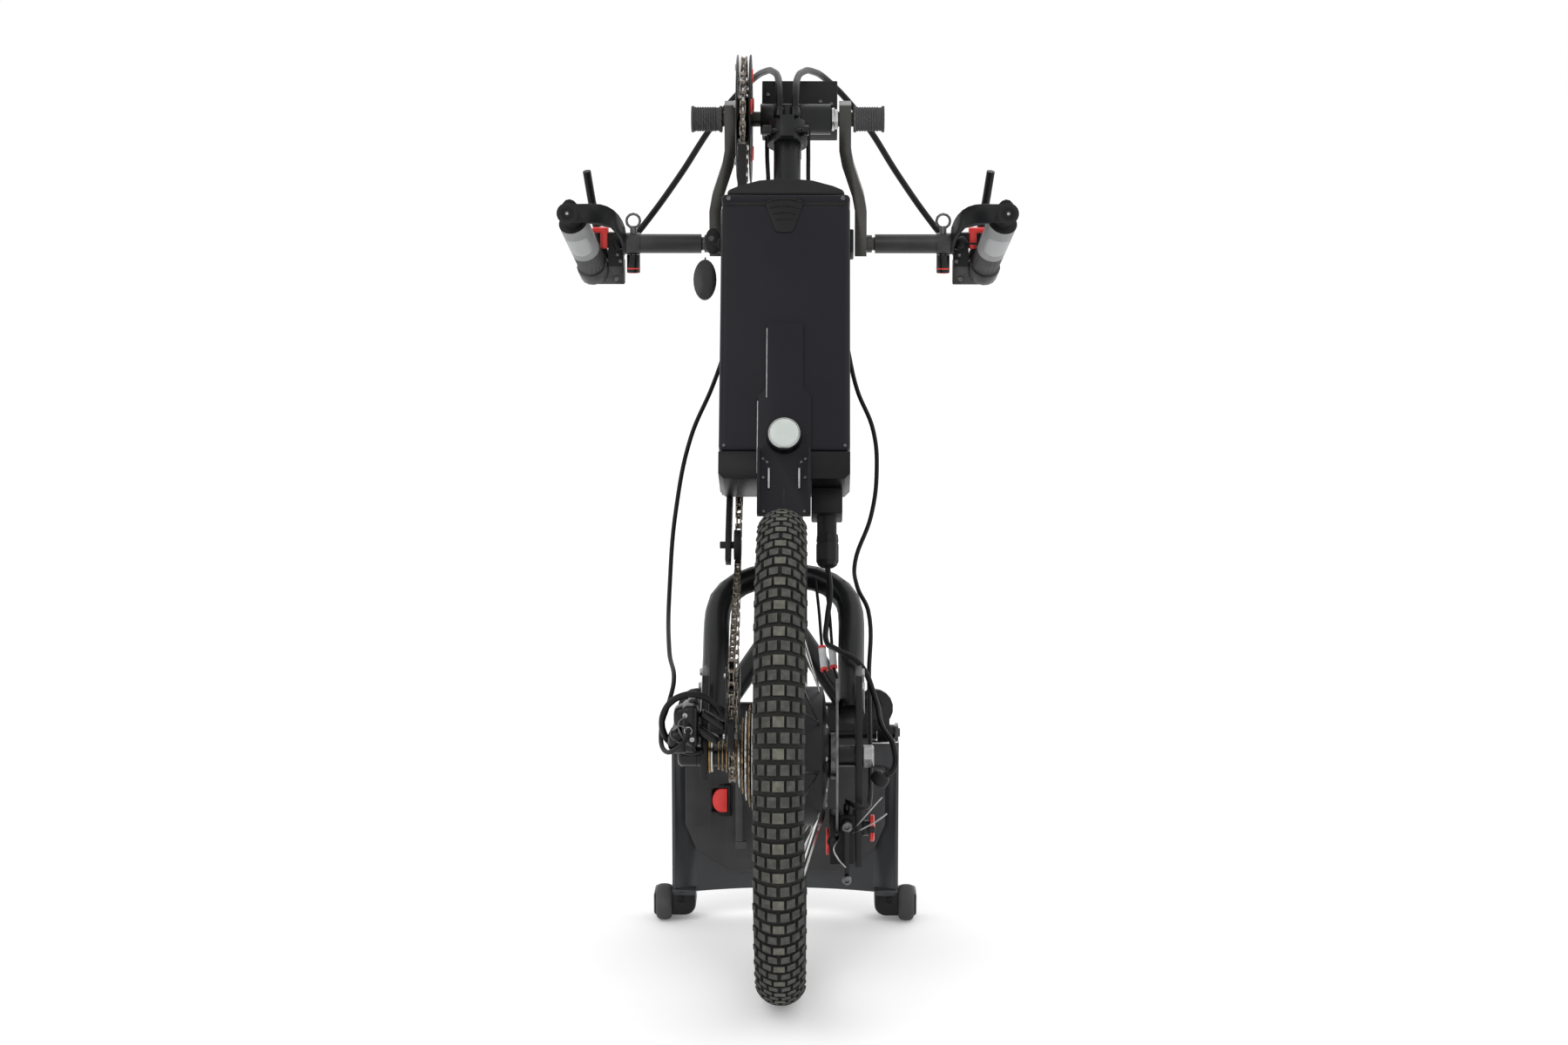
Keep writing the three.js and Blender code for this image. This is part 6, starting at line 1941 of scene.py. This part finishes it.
@dataclass
class StandParts:
    """The stand's plate with its feet and hinge tube, its rollers, its button and its grey bar."""

    place: Place
    hinge_y: float = 80.65 * MM
    foot_y: float = 28.4 * MM
    foot_inner: float = 100.6 * MM
    foot_top: float = 29.6 * MM
    foot_deep: float = 38 * MM

    def build(self) -> None:
        """Build the stand's fittings."""
        self.shield()
        for side in Side:
            self.roller(side)
        self.bezel()
        self.button()
        self.bar()

    def shield(self) -> None:
        """Soften the stand's plate and add its rounded feet, their screws, a silver strip painted as a
        highlight on the right side's top edge, and the hinge tube.
        """
        piece = Bench.skin("stand_shield", 0.6 * MM)
        dress(piece, Finishes.GLOSS_PAINT, Body.STAND, "paint")
        low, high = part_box("stand_shield")
        for side in Side:
            inner = side.value * self.foot_inner
            outer = side.value * (high[0] + 1 * MM)
            tool = Bench.box(
                "tool", (min(inner, outer), low[1] - 5 * MM, low[2] - 5 * MM),
                (max(inner, outer), high[1] + 5 * MM, self.foot_top), 0.0, 1,
            )
            Bench.cut(piece, tool)
            self.foot(side)
        # Painted highlight: a thin silver strip on the right side's top edge only, standing for the light
        # caught there.
        edge = Bench.box("stand_edge", mm(97, 46, 204.8), mm(127, 54, 206.6), 0.5 * MM, 2)
        dress(edge, Finishes.SILVER, Body.STAND, "steel")
        ends = [(side.value * 103.6 * MM, self.hinge_y, 210 * MM) for side in Side]
        tube = Bench.rod("hinge_tube", *ends, 9 * MM, 32, 1 * MM)
        dress(tube, Finishes.DARK_PAINT, Body.DOCK, "paint")
        screws = []
        for side in Side:
            seat = (side.value * 117 * MM, self.foot_y, 27 * MM)
            screws.append(Screw(*mm(4.2, 1.6)).build("screw", seat, (0, -1, 0)))
        dress(Bench.join("foot_screws", screws), Finishes.DARK_PAINT, Body.STAND, "steel")

    def foot(self, side: Side) -> None:
        """Shape one foot, round below on its inner side."""
        low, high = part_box("stand_shield")
        inner = self.foot_inner + 0.6 * MM
        outer = high[0]
        corner = 13 * MM
        rim = 4 * MM
        outline = [(inner, self.foot_top + 3 * MM)]
        outline += arc((inner + corner, low[2] + corner), (corner, corner), math.pi, math.pi / 2, 8)
        outline += arc((outer - rim, low[2] + rim), (rim, rim), -math.pi / 2, math.pi / 2, 4)
        outline.append((outer, self.foot_top + 3 * MM))
        outline = [(side.value * x, z) for x, z in outline]
        depth = self.foot_deep
        turn = Matrix.Translation((0.0, low[1] + depth, 0.0))
        foot = Bench.plate(f"stand_foot_{side.word}", outline, depth, turn, 3.2 * MM)
        dress(foot, Finishes.PAINT, Body.STAND, "paint")

    def roller(self, side: Side) -> None:
        """Turn one roller's rubber tread and its hub."""
        low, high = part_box(f"stand_roller_{side.word}")
        centre = (low + high) / 2
        radius = (high[2] - low[2]) / 2
        half = (high[0] - low[0]) / 2
        bore = 4.5 * MM
        hub = radius * 0.56
        profile = [
            (-half, hub), (-half, radius - 5 * MM), (-half * 0.92, radius - 2.9 * MM),
            (-half * 0.74, radius - 1.2 * MM), (-half * 0.45, radius - 0.3 * MM), (0.0, radius),
            (half * 0.45, radius - 0.3 * MM), (half * 0.74, radius - 1.2 * MM),
            (half * 0.92, radius - 2.9 * MM), (half, radius - 5 * MM), (half, hub), (-half, hub),
        ]
        tread = Bench.lathe(f"roller_tread_{side.word}", profile, centre, (1, 0, 0), 48)
        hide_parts(f"stand_roller_{side.word}")
        dress(tread, Finishes.RUBBER, f"roller_{side.word}", "rubber")
        core = half * 0.8
        profile = [
            (-core, bore), (-half * 0.95, bore + 3 * MM), (-core, bore + 5 * MM), (-core, hub), (core, hub),
            (core, bore + 5 * MM), (half * 0.95, bore + 3 * MM), (core, bore), (-core, bore),
        ]
        core_piece = Bench.lathe(f"roller_hub_{side.word}", profile, centre, (1, 0, 0), 40)
        dress(core_piece, Finishes.PLASTIC, f"roller_{side.word}", "plastic")

    def bezel(self) -> None:
        """Frame the release button with a raised black bezel."""
        low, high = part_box("release_button")
        rim = 5.4 * MM
        gap = 0.8 * MM
        front = low[1] + 2.2 * MM
        low_corner = (low[0] - rim, front, low[2] - rim)
        high_corner = (high[0] + rim, high[1] + 1 * MM, high[2] + rim)
        outer = Bench.box("release_bezel", low_corner, high_corner, 2.4 * MM, 3)
        low_corner = (low[0] - gap, front - 5 * MM, low[2] - gap)
        high_corner = (high[0] + gap, high[1] + 6 * MM, high[2] + gap)
        tool = Bench.box("tool", low_corner, high_corner, 1.6 * MM, 3)
        Bench.cut(outer, tool)
        Bench.soften(outer, 0.0, angle=32.0)
        dress(outer, Finishes.GLOSSY, Body.STAND, "plastic")

    def button(self) -> None:
        """Shape the release button, round on its left and flat on its right."""
        low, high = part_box("release_button")
        width = (high[0] - low[0]) * 0.6
        half = (high[2] - low[2]) / 2
        middle = (high[2] + low[2]) / 2
        outline = [(high[0], middle - half), (high[0], middle + half)]
        outline += arc((low[0] + width, middle), (width, half), math.pi / 2, math.pi, 14)
        back = high[1] - 0.5 * MM
        turn = Matrix.Translation((0.0, back, 0.0))
        button = Bench.plate("release_key", outline, back - low[1], turn, 1.2 * MM)
        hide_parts("release_button")
        dress(button, Finishes.RED, Body.RELEASE, "red")

    def bar(self) -> None:
        """Add the grey bar with its foot on the stand's panel."""
        low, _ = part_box("stand_cover")
        front = low[1] - 1.5 * MM
        back = low[1] + 6 * MM
        parts = [
            Bench.box("bar", (x * MM, front, z * MM), (end * MM, back, top * MM), 1.0 * MM, 3)
            for x, z, end, top in ((-56, 92, -48, 172), (-56, 84, -43, 92))
        ]
        dress(Bench.join("stand_bar", parts), Finishes.GREY_BAR, Body.STAND, "plastic")


@dataclass(frozen=True)
class Studio:
    """The camera, the lamps, the world and the floor."""

    side: float = 0.04205
    away: float = 3.22335
    height: float = 0.97466
    pitch: float = 81.0
    turn: float = 0.76
    lens: float = 68.3
    sensor: float = 36.0
    clip: tuple = (0.05, 60.0)
    aim: Point = (0.0, 0.0, 0.45)
    floor_size: float = 60.0
    floor_back: float = 20.0
    floor_grey: float = 0.97
    glow: float = 0.13
    lamps: tuple = (
        ("key_light", (-2.2, -2.6, 3.4), 2.6, 22.0), ("fill_light", (2.8, -1.8, 2.4), 2.4, 10.0),
        ("back_light", (0.6, 2.8, 3.0), 2.4, 10.0),
    )

    def build(self) -> None:
        """Set up the picture."""
        self.camera()
        self.world()
        self.floor()
        for lamp in self.lamps:
            self.lamp(*lamp)

    def camera(self) -> None:
        """Stand the camera where the photograph was taken from."""
        Bench.clear()
        place = (self.side, -self.away, self.height)
        turn = (math.radians(self.pitch), 0.0, math.radians(self.turn))
        bpy.ops.object.camera_add(location=place, rotation=turn)
        camera = bpy.context.object
        camera.name = "camera"
        camera.data.lens = self.lens
        camera.data.sensor_width = self.sensor
        camera.data.clip_start, camera.data.clip_end = self.clip
        bpy.context.scene.camera = camera

    @staticmethod
    def seen(tree: bpy.types.NodeTree, low: float, high: float) -> bpy.types.NodeSocket:
        """Give one level to the rays that show a surface, and another to those that light it.

        Args:
            tree: The node tree of the world or of a material.
            low: The level for rays that bring light.
            high: The level for camera, glossy and transmission rays.

        Returns:
            The socket with the level.
        """
        path = tree.nodes.new("ShaderNodeLightPath")
        total = path.outputs["Is Camera Ray"]
        for kind in ("Is Glossy Ray", "Is Transmission Ray"):
            either = tree.nodes.new("ShaderNodeMath")
            either.operation = "MAXIMUM"
            tree.links.new(total, either.inputs[0])
            tree.links.new(path.outputs[kind], either.inputs[1])
            total = either.outputs["Value"]
        level = tree.nodes.new("ShaderNodeMapRange")
        level.inputs["To Min"].default_value = low
        level.inputs["To Max"].default_value = high
        tree.links.new(total, level.inputs["Value"])
        return level.outputs["Result"]

    def world(self) -> None:
        """Light everything softly, and show plain white where a ray meets nothing."""
        world = bpy.data.worlds.new("studio")
        bpy.context.scene.world = world
        world.use_nodes = True
        tree = world.node_tree
        background = tree.nodes["Background"]
        background.inputs["Color"].default_value = (1.0, 1.0, 1.0, 1.0)
        tree.links.new(self.seen(tree, 1.0, 1.0), background.inputs["Strength"])

    def floor(self) -> None:
        """Lay a pale floor that keeps the shadow and glows faintly where it is seen."""
        Bench.clear()
        bpy.ops.mesh.primitive_plane_add(size=self.floor_size, location=(0.0, self.floor_back, 0.0))
        floor = bpy.context.object
        floor.name = "floor"
        material = bpy.data.materials.new("pale_floor")
        material.use_nodes = True
        shader = material.node_tree.nodes["Principled BSDF"]
        shader.inputs["Base Color"].default_value = (*[self.floor_grey] * 3, 1.0)
        shader.inputs["Roughness"].default_value = 1.0
        shader.inputs["Specular IOR Level"].default_value = 0.0
        shader.inputs["Emission Color"].default_value = (1.0, 1.0, 1.0, 1.0)
        glow = self.seen(material.node_tree, 0.0, self.glow)
        material.node_tree.links.new(glow, shader.inputs["Emission Strength"])
        floor.data.materials.append(material)

    def lamp(self, name: str, place: Point, size: float, power: float) -> None:
        """Hang one soft lamp that points at the handcycle's middle."""
        Bench.clear()
        bpy.ops.object.light_add(type="AREA", location=place)
        lamp = bpy.context.object
        lamp.name = name
        lamp.data.shape = "DISK"
        lamp.data.size = size
        lamp.data.energy = power
        aim = Vector(self.aim) - Vector(place)
        lamp.rotation_euler = aim.to_track_quat("-Z", "Y").to_euler()


def main() -> None:
    """Build the handcycle round the frame and set up its picture."""
    logging.basicConfig(level=logging.INFO, format="%(message)s")
    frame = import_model()
    Bench.nodes = frame["nodes"]
    place = Place.read(frame["record"])
    builders = (
        Skins(), Wheel(place), Chain(place), BatteryPack(place), LampUnit(place), AxleEnds(place),
        Grips(place), Cables(place), Derailleur(place), Brake(place), CrankParts(place), HandleParts(place),
        DockParts(place), StandParts(place), Studio(),
    )
    for builder in builders:
        LOG.info("building %s", type(builder).__name__)
        builder.build()
    Bench.clear()
    bpy.context.scene.view_settings.view_transform = "Standard"


if __name__ == "__main__":
    main()
